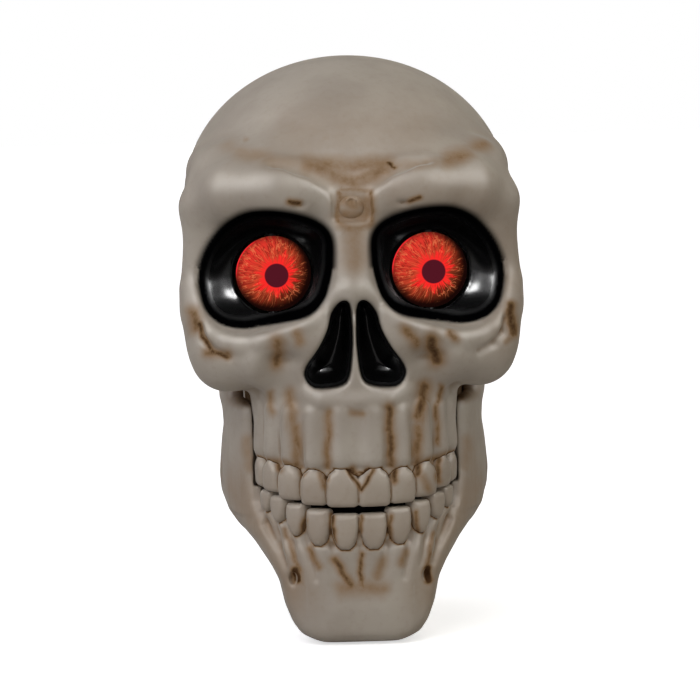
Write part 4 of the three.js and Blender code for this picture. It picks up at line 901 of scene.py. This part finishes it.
# Stains and painted shade: the line of each stroke in pixels, its radius and its strength
BROW_STAINS = {
    "forehead wash": ([(300, 136), (410, 132)], 50, 0.25),
    "left band": ([(228, 146), (250, 155), (285, 162), (310, 164)], 12, 0.5),
    "upper patch": ([(308, 164), (335, 166), (365, 166), (388, 164)], 16, 0.84),
    "middle patch": ([(318, 168), (338, 176), (355, 183), (374, 174), (386, 168)], 15, 0.9),
    "right band": ([(392, 166), (425, 164), (450, 160)], 10, 0.5),
    "right spot": ([(447, 160), (462, 155), (484, 143)], 13, 0.95),
    "above boss": ([(341, 190), (371, 190)], 5, 0.85),
    "left of boss": ([(339, 192), (338, 205), (338, 222)], 5, 1.0),
    "right of boss": ([(371, 192), (373, 205), (371, 222)], 5, 1.0),
    "recess": ([(343, 200), (355, 205), (367, 200), (366, 216), (344, 216)], 14, 0.84),
    "under boss": ([(340, 225), (356, 230), (370, 225)], 9, 0.85),
    "bridge": ([(355, 228), (355, 262)], 20, 0.66),
    "right side darkening": ([(400, 190), (480, 200), (510, 260), (512, 330)], 40, 0.22),
    "left notch": ([(290, 201), (299, 203)], 5, 1.35),
    "right notch": ([(409, 201), (419, 198)], 5, 1.2),
    "brow fleck": ([(389, 162), (395, 168)], 4, 1.35),
    "left fleck": ([(245, 139)], 4, 1.0),
    "middle fleck": ([(326, 136)], 3, 0.9),
}
CHEEK_STAINS = {
    "left side": ([(193, 312), (196, 328)], 11, 1.0),
    "left crease": ([(200, 324), (203, 338), (212, 350), (228, 358)], 5, 1.25),
    "left scratches": ([(206, 352), (228, 355)], 8, 0.95),
    "right side": ([(510, 306), (513, 332)], 10, 1.2),
    "right corner": ([(506, 341), (513, 333)], 6, 0.8),
    "left canal": ([(278, 342), (277, 363)], 11, 1.05),
    "left dot": ([(298, 333), (299, 342)], 8, 0.95),
    "right smear": ([(406, 329), (417, 345)], 9, 1.05),
    "right canal": ([(432, 341), (436, 360)], 13, 1.2),
    "right dot": ([(450, 332), (456, 339)], 7, 1.05),
}
UPPER_JAW_STAINS = {
    "first left furrow": ([(329, 412), (328, 440), (327, 466)], 7, 0.95),
    "second left furrow": ([(296, 428), (297, 464)], 9, 0.95),
    "left hollow": ([(290, 393), (293, 426)], 9, 0.85),
    "outer left furrow": ([(270, 393), (272, 412)], 6, 0.8),
    "first right furrow": ([(389, 408), (390, 432), (392, 465)], 8, 1.15),
    "right hollow": ([(425, 386), (419, 416)], 11, 1.15),
    "second right furrow": ([(418, 428), (417, 462)], 9, 1.0),
    "outer right furrow": ([(441, 387), (436, 410), (438, 444)], 5, 1.1),
    "middle fleck": ([(352, 413), (362, 413)], 5, 0.8),
    "left gum": ([(262, 459), (281, 462), (301, 466)], 5, 0.85),
    "middle gum": ([(353, 470), (361, 481), (369, 470)], 6, 1.2),
    "right gum": ([(417, 463), (438, 458), (449, 453)], 5, 0.95),
}
TOOTH_STAINS = {
    "yellowing": ([(250, 490), (470, 490), (470, 530), (250, 530), (250, 490)], 70, 0.2),
    "notch left": ([(347, 469), (361, 489)], 4, 1.25),
    "notch right": ([(374, 469), (361, 489)], 4, 1.25),
    "first left gap": ([(326, 468), (327, 478)], 6, 1.2),
    "second left gap": ([(301, 465), (302, 474)], 6, 1.1),
    "third left gap": ([(280, 462), (280, 470)], 6, 1.1),
    "first right gap": ([(393, 468), (394, 480)], 7, 1.25),
    "second right gap": ([(417, 462), (418, 474)], 7, 1.2),
    "third right gap": ([(438, 458), (439, 480)], 6, 1.1),
    "left smear": ([(320, 474), (325, 486)], 6, 0.9),
    "right smear": ([(424, 478), (428, 488)], 8, 0.8),
    "lower middle gap": ([(361, 516), (361, 549)], 4, 1.0),
    "lower left speck": ([(333, 516), (332, 524)], 5, 1.35),
    "lower left gap": ([(332, 528), (335, 548)], 6, 1.2),
    "second lower left gap": ([(305, 520), (302, 540)], 6, 1.1),
    "lower right gap": ([(391, 516), (390, 544)], 5, 1.0),
    "second lower right gap": ([(417, 512), (416, 538)], 5, 1.0),
}
LOWER_JAW_STAINS_AND_SHADE = {
    # painted shade: the first two strokes darken both sides of the jaw
    "left side darkening": ([(240, 490), (262, 530), (292, 590)], 34, 0.42),
    "right side darkening": ([(474, 490), (452, 530), (430, 590)], 34, 0.4),
    "left root": ([(334, 560), (344, 574), (351, 584)], 7, 1.15),
    "middle root": ([(361, 553), (361, 586)], 5, 1.15),
    "right root": ([(384, 560), (376, 578)], 7, 0.8),
    "chin patch": ([(342, 588), (384, 588)], 11, 0.75),
    "outer left slit": ([(285, 530), (291, 548), (300, 572)], 5, 0.95),
    "left slit": ([(310, 549), (318, 566)], 6, 0.95),
    "outer right slit": ([(433, 534), (430, 552), (424, 572)], 5, 0.95),
    "right slit": ([(406, 551), (401, 564)], 6, 0.85),
    "left nerve hole": ([(295, 570), (297, 580)], 7, 1.6),
    "right nerve hole": ([(427, 568), (429, 580)], 7, 1.6),
    "left branch": ([(247, 440), (249, 468)], 10, 0.6),
    "right branch": ([(467, 440), (466, 468)], 9, 0.5),
}
FACE_STAINS = [*BROW_STAINS.values(), *CHEEK_STAINS.values(), *UPPER_JAW_STAINS.values()]
# the jaw's strokes include painted shade on its sides
JAW_STAINS_AND_SHADE = LOWER_JAW_STAINS_AND_SHADE.values()


FADE_WIDTH = 8


def side_fade(points, edge):
    """1 on surfaces seen from the front, 0 behind them."""
    return 1 - smoothstep(edge - FADE_WIDTH, edge, points[:, 1])


def facing(obj):
    """1 where the surface looks towards the front, 0 where it is seen edge on or from behind."""
    normals = np.empty(len(obj.data.vertices) * 3, np.float32)
    obj.data.vertex_normals.foreach_get("vector", normals)
    return smoothstep(0.1, 0.45, -normals.reshape(-1, 3)[:, 1])


FEATHER_BROW = 2.6  # width over which the black of a socket fades along the brow
FEATHER_RIM = 0.9
FEATHER_CHANGE_Z = 128


def opening_edges(x, z):
    """Signed distances to the outlines of the sockets and of the nose."""
    outlines = (curved(SOCKET_OUTLINE), curved(NOSE_OUTLINE, NOSE_CURVE_STEPS))
    return [outline_distance(outline, np.abs(x), z) for outline in outlines]


def opening_soot(x, y, z):
    """Black paint of the eye sockets and the nose, feathered along the brow."""
    socket_edge, nose_edge = opening_edges(x, z)
    feather = np.where(z > FEATHER_CHANGE_Z, FEATHER_BROW, FEATHER_RIM)
    sockets = 1 - smoothstep(-0.4, feather - 0.4, socket_edge)
    rear = np.where(np.abs(x) > SOCKET_TEMPLE_X, SOCKET_BOTTOM_Y + 2, EYE_Y + 12)
    blackening = np.maximum(sockets, 1 - smoothstep(-0.3, 0.6, nose_edge))
    return blackening * (1 - smoothstep(rear - 2, rear, y))


def opening_shine(x, z):
    """Gloss of the black paint, which is dull along the rims."""
    socket_edge, nose_edge = opening_edges(x, z)
    return np.maximum(1 - smoothstep(-4.5, -2, socket_edge), 1 - smoothstep(-1.5, -0.3, nose_edge))


# strength of the painted shade along the gums
GUM_SHADE_STRENGTH = 1.4
# strength of the painted shade inside the mouth
MOUTH_SHADE_LEVEL = 0.8
# how black the painted shade under each cheek bone is
JOINT_SHADE_BLACK = 0.6
PAINT_BACK = -12  # no stain lies behind this y
SHINE_BACK = -20


def mouth_shade_paint(x, y, z):
    """Painted shade behind both rows of teeth, where the mouth is dark inside."""
    within = np.hypot(x, y - ARCH_Y) - (LOWER_ARCH_RADIUS - TOOTH_DEPTH)
    throat = smoothstep(-30, -26, y) * (1 - smoothstep(22, 27, np.abs(x)))
    mouth = np.clip(1 - smoothstep(-1, 1, within) + throat, 0, 1)
    return MOUTH_SHADE_LEVEL * mouth * band((22, 30), (72, 80), z)


def joint_shade(x, y, z):
    """Painted shade in the hollow under each cheek bone, above the front of the jaw's branch."""
    sideways = 1 - smoothstep(37, 46, np.abs(x))
    return sideways * band((-38, -35), (-16, -10), y) * band((77.5, 81), (88, 93), z)


def gum_shade_line(points, shapes):
    """Painted shade, with brown paint settled in it, where the bone meets a row of crowns."""
    x, y, z = points.T
    gap = np.full(len(points), 9, np.float32)
    for shape in shapes:
        gap = np.minimum(gap, shape.distance(np.abs(x), y, z))
    return 1 - smoothstep(0.1, 0.9, gap)


def paint_bone(obj, strokes, shapes=()):
    points = from_frame(obj)
    front = side_fade(points, PAINT_BACK) * facing(obj)
    u, v = unsteady(*seen(points))
    cover = np.zeros_like(u)
    for line, radius, strength in strokes:
        cover = np.maximum(cover, strength * stroke(u, v, line, radius))
    # painted shade along the gums
    cover = np.maximum(cover, GUM_SHADE_STRENGTH * gum_shade_line(points, shapes))
    x, y, z = points.T
    # painted shade under the cheek bones, in the stain colours and in the black
    joint = joint_shade(x, y, z)
    store(obj, "stain_and_shade", np.maximum(cover * front, joint))
    # painted shade inside the mouth and under the cheek bones goes into the black
    inside = np.maximum(mouth_shade_paint(x, y, z), JOINT_SHADE_BLACK * joint)
    store(obj, "blackening", np.maximum(opening_soot(x, y, z), inside))
    store(obj, "shine", opening_shine(x, z) * side_fade(points, SHINE_BACK))


# Materials

def linear(red, green, blue):
    """A colour as seen on a screen, from 0 to 255, as light."""
    parts = [value / 255 for value in (red, green, blue)]
    return (*[p / 12.92 if p <= 0.04045 else ((p + 0.055) / 1.055) ** 2.4 for p in parts], 1)


class Nodes:
    """Short ways to build the node tree of a material or of the world."""

    def __init__(self, owner, surface="Principled BSDF"):
        owner.use_nodes = True
        self.owner = owner
        self.tree = owner.node_tree
        self.surface = self.tree.nodes[surface]

    def add(self, kind, inputs=None, **settings):
        node = self.tree.nodes.new(kind)
        for key, value in settings.items():
            setattr(node, key, value)
        for key, value in (inputs or {}).items():
            self.feed(node.inputs[key], value)
        return node

    def feed(self, socket, value):
        if isinstance(value, bpy.types.NodeSocket):
            self.tree.links.new(value, socket)
        else:
            socket.default_value = value

    def attribute(self, name):
        return self.add("ShaderNodeAttribute", attribute_name=name).outputs["Fac"]

    def place(self):
        return self.add("ShaderNodeTexCoord").outputs["Object"]

    def noise(self, scale, detail=3, roughness=0.55, vector=None):
        inputs = {"Scale": scale, "Detail": detail, "Roughness": roughness, "Vector": vector or self.place()}
        return self.add("ShaderNodeTexNoise", inputs).outputs["Fac"]

    def math(self, operation, first, second=0.0, clamp=False):
        inputs = {0: first, 1: second}
        return self.add("ShaderNodeMath", inputs, operation=operation, use_clamp=clamp).outputs[0]

    def ramp(self, value, low, high, low_out=0.0, high_out=1.0):
        inputs = {"Value": value, "From Min": low, "From Max": high, "To Min": low_out, "To Max": high_out}
        return self.add("ShaderNodeMapRange", inputs, interpolation_type="SMOOTHSTEP").outputs[0]

    def mix(self, share, first, second):
        inputs = {"Factor": share, 6: first, 7: second}
        return self.add("ShaderNodeMix", inputs, data_type="RGBA").outputs[2]

    def mix_value(self, share, first, second):
        return self.add("ShaderNodeMix", {0: share, 2: first, 3: second}).outputs[0]

    def bump(self, height, strength, distance):
        inputs = {"Height": height, "Strength": strength, "Distance": distance}
        self.feed(self.surface.inputs["Normal"], self.add("ShaderNodeBump", inputs).outputs[0])

    def set(self, **inputs):
        for key, value in inputs.items():
            self.feed(self.surface.inputs[key.replace("_", " ")], value)
        return self.owner


def material_nodes(name):
    return Nodes(bpy.data.materials.new(name))


BONE_LIGHT = linear(175, 166, 153)
BONE_MID = linear(160, 150, 137)
BONE_WASH = linear(126, 106, 84)
# stain colours, which also paint shade along the gums, under the cheek bones and on the jaw's sides; the
# black also paints shade in the mouth and under the cheek bones
STAIN_AND_SHADE_BROWN = linear(143, 112, 77)
STAIN_AND_SHADE_DARK = linear(72, 49, 30)
BLACK_PAINT_AND_SHADE = linear(4, 4, 5)
BONE_GLOSS = 0.1
BONE_ROUGHNESS = 0.52
SOOT_GLOSS = 0.5
SOOT_ROUGHNESS = 0.23


def bone_paint():
    """Cast bone colour with a brown wash in the hollows, brown stains, glossy black in the openings, and
    painted shade in the mouth, under the cheek bones, along the gums and on the jaw's sides.
    """
    n = material_nodes("bone_paint")
    cloud = n.ramp(n.noise(28, 4), 0.35, 0.68)
    grain = n.noise(420, 3)
    colour = n.mix(cloud, BONE_MID, BONE_LIGHT)
    colour = n.mix(n.ramp(grain, 0.5, 0.75, 0, 0.10), colour, BONE_WASH)
    wash = n.ramp(n.attribute("hollow"), 0.02, 0.3)
    wash = n.math("MULTIPLY", wash, n.ramp(n.noise(120, 4), 0.3, 0.6, 0.45, 1))
    colour = n.mix(wash, colour, BONE_WASH)
    coarse = n.math("MULTIPLY", n.noise(130, 5, 0.6), 0.7)
    fine = n.math("MULTIPLY", n.noise(520, 4), 0.3)
    blotch = n.math("ADD", coarse, fine)
    # brown stains, with painted shade along the gums, under the cheek bones and on the jaw's sides
    patch = n.math("MULTIPLY", n.attribute("stain_and_shade"), n.ramp(blotch, 0.3, 0.66, 0.8, 1.05))
    colour = n.mix(n.math("MINIMUM", patch, 0.92), colour, STAIN_AND_SHADE_BROWN)
    colour = n.mix(n.ramp(patch, 0.76, 1.32, 0, 0.95), colour, STAIN_AND_SHADE_DARK)
    # black paint of the openings, with painted shade in the mouth and under the cheek bones
    blackening = n.attribute("blackening")
    colour = n.mix(blackening, colour, BLACK_PAINT_AND_SHADE)
    shine = n.attribute("shine")
    rough = n.ramp(shine, 0, 1, BONE_ROUGHNESS, SOOT_ROUGHNESS)
    n.bump(grain, n.ramp(shine, 0, 1, 0.12, 0), 0.0004)
    bare = n.math("SUBTRACT", 1.0, n.math("MAXIMUM", blackening, patch), clamp=True)
    gloss = n.math("ADD", n.math("MULTIPLY", bare, BONE_GLOSS), n.math("MULTIPLY", shine, SOOT_GLOSS))
    return n.set(Base_Color=colour, Roughness=rough, Specular_IOR_Level=gloss)


def satin(name, colour, roughness, metallic):
    """Moulded plastic or metal with a faint mottle and a fine satin texture."""
    n = material_nodes(name)
    worn = tuple(c * 0.82 for c in colour[:3]) + (1,)
    shade = n.mix(n.ramp(n.noise(60, 4), 0.35, 0.7), worn, colour)
    rough = n.ramp(n.noise(300, 3), 0.3, 0.7, roughness - 0.06, roughness + 0.08)
    n.bump(n.noise(1500, 2), 0.08, 0.0002)
    return n.set(Base_Color=shade, Roughness=rough, Metallic=metallic)


IRIS_RED = linear(250, 42, 40)
IRIS_ORANGE = linear(184, 66, 40)
IRIS_BROWN = linear(80, 34, 18)
IRIS_THREAD = linear(242, 132, 84)
IRIS_GLOW = linear(230, 56, 46)
IRIS_CRESCENT = linear(255, 48, 52)
IRIS_SHADOW = linear(96, 16, 12)
IRIS_RIM = linear(24, 7, 5)
PUPIL = linear(82, 22, 34)
PUPIL_SHARE = 0.305  # of the eye's radius


def eye_places(n):
    """Across, up and distance from the middle of the eye, in radii, and the direction from the middle."""
    split = n.add("ShaderNodeSeparateXYZ", {"Vector": n.place()})
    x = n.math("DIVIDE", split.outputs["X"], EYE_RADIUS * MILLIMETRE)
    z = n.math("DIVIDE", split.outputs["Z"], EYE_RADIUS * MILLIMETRE)
    radius = n.math("SQRT", n.math("ADD", n.math("POWER", x, 2.0), n.math("POWER", z, 2.0)))
    safe = n.math("MAXIMUM", radius, 0.02)
    return x, z, radius, n.math("DIVIDE", x, safe), n.math("DIVIDE", z, safe)


def from_level(n, spokes, scale, detail, level):
    """How far the noise along the spokes is from a level, which is zero along wavy threads."""
    return n.math("ABSOLUTE", n.math("SUBTRACT", n.noise(scale, detail, 0.5, spokes), level))


def iris():
    """Self-lit red iris: wavy threads run out from the pupil, brighter towards the upper left."""
    n = material_nodes("eye_iris")
    x, z, radius, across, up = eye_places(n)
    waver = n.math("MULTIPLY", n.noise(320, 3), 0.13)
    spokes = n.add("ShaderNodeCombineXYZ", {"X": n.math("ADD", across, waver), "Y": n.math("ADD", up, waver),
                                            "Z": n.math("MULTIPLY", radius, 0.3)}).outputs[0]
    light_line = from_level(n, spokes, 7.5, 1.5, 0.5)
    dark_line = from_level(n, spokes, 9, 2, 0.46)
    flames = n.math("ADD", radius, n.ramp(n.noise(8, 2, 0.5, spokes), 0.3, 0.7, -0.16, 0.16))
    colour = n.mix(n.ramp(flames, 0.36, 0.68), IRIS_RED, IRIS_ORANGE)
    colour = n.mix(n.ramp(flames, 0.6, 1.0, 0, 0.8), colour, IRIS_BROWN)
    lit = n.math("SUBTRACT", n.math("MULTIPLY", z, 0.7), n.math("MULTIPLY", x, 0.7))
    colour = n.mix(n.ramp(lit, 0.1, 0.8, 0, 0.85), colour, IRIS_GLOW)
    shade = n.math("MULTIPLY", n.ramp(lit, 0.25, -0.6, 0, 0.95), n.ramp(flames, 0.36, 0.62))
    colour = n.mix(shade, colour, IRIS_BROWN)
    outside = n.ramp(radius, 0.36, 0.55)
    colour = n.mix(n.math("MULTIPLY", n.ramp(dark_line, 0.05, 0.0, 0, 0.6), outside), colour, IRIS_SHADOW)
    colour = n.mix(n.math("MULTIPLY", n.ramp(light_line, 0.03, 0.002, 0, 0.55), outside), colour, IRIS_THREAD)
    dim_edge = n.math("SUBTRACT", radius, n.math("MULTIPLY", lit, 0.14))
    colour = n.mix(n.ramp(dim_edge, 0.7, 0.98), colour, IRIS_RIM)
    facing = n.math("SUBTRACT", n.math("MULTIPLY", up, 0.5), n.math("MULTIPLY", across, 0.87))
    crescent = n.math("MULTIPLY", n.ramp(radius, 0.95, 0.975), n.ramp(facing, 0.8, 0.95))
    colour = n.mix(crescent, colour, IRIS_CRESCENT)
    colour = n.mix(n.ramp(radius, PUPIL_SHARE + 0.02, PUPIL_SHARE - 0.01), colour, PUPIL)
    return n.set(Base_Color=(0, 0, 0, 1), Roughness=1.0, Specular_IOR_Level=0.0, Emission_Color=colour,
                 Emission_Strength=1.0)


# Window over the light sensor

BOSS_CENTRE = (0, -62, 148.4)
BOSS_RADII = (4.5, 2.6, 4)
BOSS_RING_CENTRE = (0, -64.1, 150.3)
BOSS_RING_RADIUS = 1.35
BOSS_RING_THICKNESS = 0.42


def sensor_boss():
    """A dome with a small raised ring near its top."""
    sculpt = Sculpt(*BOSS_GRID, BOSS_STEP)
    sculpt.add(ball(BOSS_CENTRE, BOSS_RADII))
    x, y, z = (p - c for p, c in zip(sculpt.points(), BOSS_RING_CENTRE))
    ring = np.hypot(np.hypot(x, z) - BOSS_RING_RADIUS, y) - BOSS_RING_THICKNESS
    sculpt.field = smooth_min(sculpt.field, ring, 0.4)
    boss = bone_object("sensor_boss", sculpt, SMALL_KEEP)
    paint_bone(boss, BROW_STAINS.values())
    return boss


# Eyes

POLE_GAP = 0.002  # angle by which a profile stays off the axis
OUTER_ROWS = 40
INNER_ROWS = 12
EYE_SEGMENTS = 72


def lathe(name, profile, segments):
    """A closed body turned about the local Y axis from a profile of (radius, y)."""
    points, faces = [], []
    angles = np.arange(segments) * math.tau / segments
    for radius, y in profile:
        points += [(radius * math.cos(a), y, radius * math.sin(a)) for a in angles]
    for row in range(len(profile) - 1):
        here, ahead = row * segments, (row + 1) * segments
        for i in range(segments):
            j = (i + 1) % segments
            faces.append((here + i, here + j, ahead + j, ahead + i))
    return new_object(name, new_mesh(name, np.array(points) * MILLIMETRE, np.array(faces)))


def eye_arc(radius, rows):
    """Profile of a ball from its front to the plane where the eye is split."""
    angles = np.linspace(POLE_GAP, math.acos(-EYE_SPLIT / radius), rows)
    return [(radius * math.sin(a), -radius * math.cos(a)) for a in angles]


def eye_dome(side):
    name = "eye_dome_left" if side < 0 else "eye_dome_right"
    outer = eye_arc(EYE_RADIUS, OUTER_ROWS)
    inner = eye_arc(EYE_RADIUS - EYE_WALL, INNER_ROWS)
    obj = lathe(name + "_iris", outer + inner[::-1], EYE_SEGMENTS)
    centre = Vector((side * EYE_X, EYE_Y + FRAME_SHIFT_Y, EYE_Z)) * MILLIMETRE
    obj.matrix_world = Matrix.Translation(centre) @ Matrix.Rotation(EYE_YAW, 4, "Z")
    obj.data.materials.append(iris_material)
    obj.visible_glossy = False
    obj.visible_diffuse = False
    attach(obj, "eye_left_body" if side < 0 else "eye_right_body")
    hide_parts(name)


# Floor and light

CARD_TARGET = (0, -0.05, 0.12)
KEY_TARGET = (0, -0.04, 0.11)


def add_card(name, place, target, size, power, only_reflected=False):
    """A rectangular light, which may show only in reflections."""
    data = bpy.data.lights.new(name, "AREA")
    data.shape = "RECTANGLE"
    data.size, data.size_y = size
    data.energy = power
    card = bpy.data.objects.new(name, data)
    bpy.context.scene.collection.objects.link(card)
    away = Vector(place) - Vector(target)
    card.matrix_world = Matrix.Translation(place) @ away.to_track_quat("Z", "Y").to_matrix().to_4x4()
    card.visible_diffuse = not only_reflected
    card.visible_glossy = only_reflected


WHITE = (1, 1, 1, 1)
LEFT_LIGHT = (1.0, 1.01, 1.13, 1)
RIGHT_LIGHT = (0.77, 0.73, 0.62, 1)
LIGHT_LEVEL = 0.66
LIGHT_CHANGE = 0.8  # how far to each side the light goes on changing from left to right
REFLECTED_LEVEL = 0.04


def add_world():
    """White to the camera, an even soft light that is cooler from the left, and dim in reflections."""
    n = Nodes(bpy.data.worlds.new("studio"), "Background")
    ray = n.add("ShaderNodeLightPath").outputs
    direction = n.add("ShaderNodeTexCoord").outputs["Generated"]
    sideways = n.add("ShaderNodeSeparateXYZ", {"Vector": direction}).outputs["X"]
    change = {"Value": sideways, "From Min": -LIGHT_CHANGE, "From Max": LIGHT_CHANGE}
    share = n.add("ShaderNodeMapRange", change).outputs[0]
    colour = n.mix(ray["Is Camera Ray"], n.mix(share, LEFT_LIGHT, RIGHT_LIGHT), WHITE)
    level = n.mix_value(ray["Is Camera Ray"], LIGHT_LEVEL, 1)
    level = n.mix_value(ray["Is Glossy Ray"], level, REFLECTED_LEVEL)
    bpy.context.scene.world = n.set(Color=colour, Strength=level)


FLOOR_GLOW = 0.6  # seen by the camera alone, so the floor ends in the white around it
FLOOR_SEEN = (0.98, 0.98, 0.98, 1)
FLOOR_BOUNCE = (0.57, 0.56, 0.55, 1)
FLOOR_HALF = 4


def add_floor():
    corners = FLOOR_HALF * np.array([(-1, -1, 0), (1, -1, 0), (1, 1, 0), (-1, 1, 0)])
    mesh = new_mesh("floor", corners, np.array([(0, 1, 2, 3)]))
    floor = new_object("floor", mesh)
    n = material_nodes("floor_white")
    to_camera = n.add("ShaderNodeLightPath").outputs["Is Camera Ray"]
    colour = n.mix(to_camera, FLOOR_BOUNCE, FLOOR_SEEN)
    glow = n.math("MULTIPLY", to_camera, FLOOR_GLOW)
    mesh.materials.append(n.set(Base_Color=colour, Roughness=0.9, Specular_IOR_Level=0.0,
                                Emission_Color=WHITE, Emission_Strength=glow))


# Assembly

Finish = namedtuple("Finish", "colour roughness metallic", defaults=[0])
FINISHES = {
    "bone_plastic": Finish(BONE_MID, 0.5),
    "dark_plastic": Finish(linear(26, 25, 26), 0.42),
    "gear_plastic": Finish(linear(214, 210, 198), 0.45),
    "rubber_foot": Finish(linear(30, 30, 31), 0.85),
    "cell_jacket": Finish(linear(43, 47, 56), 0.35),
    "circuit_board": Finish(linear(31, 100, 56), 0.5),
    "led_red": Finish(linear(110, 14, 10), 0.3),
    "window_brown": Finish(linear(140, 122, 98), 0.3),
    "steel": Finish(linear(160, 162, 166), 0.35, 1),
    "brass_pinion": Finish(linear(190, 156, 70), 0.35, 1),
    "eye_red": Finish(linear(48, 9, 7), 0.4),
}
EDGE_ROUNDING = 0.0002
EDGE_SEGMENTS = 2
bone_material = bone_paint()
iris_material = iris()
slot_materials = {slot: satin(slot, *finish) for slot, finish in FINISHES.items()}


def finish_nodes():
    """Gives every carried-over node the material of its slot and softly broken edges."""
    for part in frame["record"]["subparts"]:
        node = frame["nodes"][part["node"]]
        node.data.materials.clear()
        node.data.materials.append(slot_materials[part["material_slot"]])
        soft_edge = node.modifiers.new("soft_edge", "BEVEL")
        soft_edge.width = EDGE_ROUNDING
        soft_edge.segments = EDGE_SEGMENTS
        soft_edge.limit_method = "ANGLE"


def bone_piece(obj, body, node):
    obj.data.materials.append(bone_material)
    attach(obj, body)
    if node:
        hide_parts(node)
    return obj


finish_nodes()
skull = skull_shell()
face = skull_half("face_bone", skull, FRONT_Y, SEAM_Y - SEAM_GAP / 2, FACE_KEEP)
paint_bone(face, FACE_STAINS, UPPER_CROWNS)
bone_piece(face, "head", "face_shell")
rear = skull_half("rear_bone", skull, SEAM_Y + SEAM_GAP / 2, BACK_Y, REAR_KEEP)
paint_bone(rear, [])
bone_piece(rear, "head", "rear_shell")
jaw = bone_object("jaw_bone", jaw_shell(), JAW_KEEP)
paint_bone(jaw, JAW_STAINS_AND_SHADE, LOWER_CROWNS)
bone_piece(jaw, "jaw", "jaw_shell")
bone_piece(tooth_row("upper_teeth", UPPER_CROWNS, UPPER_TEETH_GRID, [GUM_NOTCH]), "head", None)
bone_piece(tooth_row("lower_teeth", LOWER_CROWNS, LOWER_TEETH_GRID), "jaw", None)
bone_piece(sensor_boss(), "head", "sensor_window")
for eye_side in (-1, 1):
    eye_dome(eye_side)

add_camera()
for card_name, card_side in (("left_card", -1), ("right_card", 1)):
    add_card(card_name, (card_side * 0.8, -0.5, 0.8), CARD_TARGET, (1.0, 0.9), 100, only_reflected=True)
add_card("overhead_card", (0, -0.6, 0.95), CARD_TARGET, (1.0, 0.3), 12, only_reflected=True)
add_card("key_card", (-0.5, -1.2, 1.0), KEY_TARGET, (0.9, 0.9), 5)
add_world()
add_floor()
bpy.context.scene.view_settings.view_transform = "Standard"
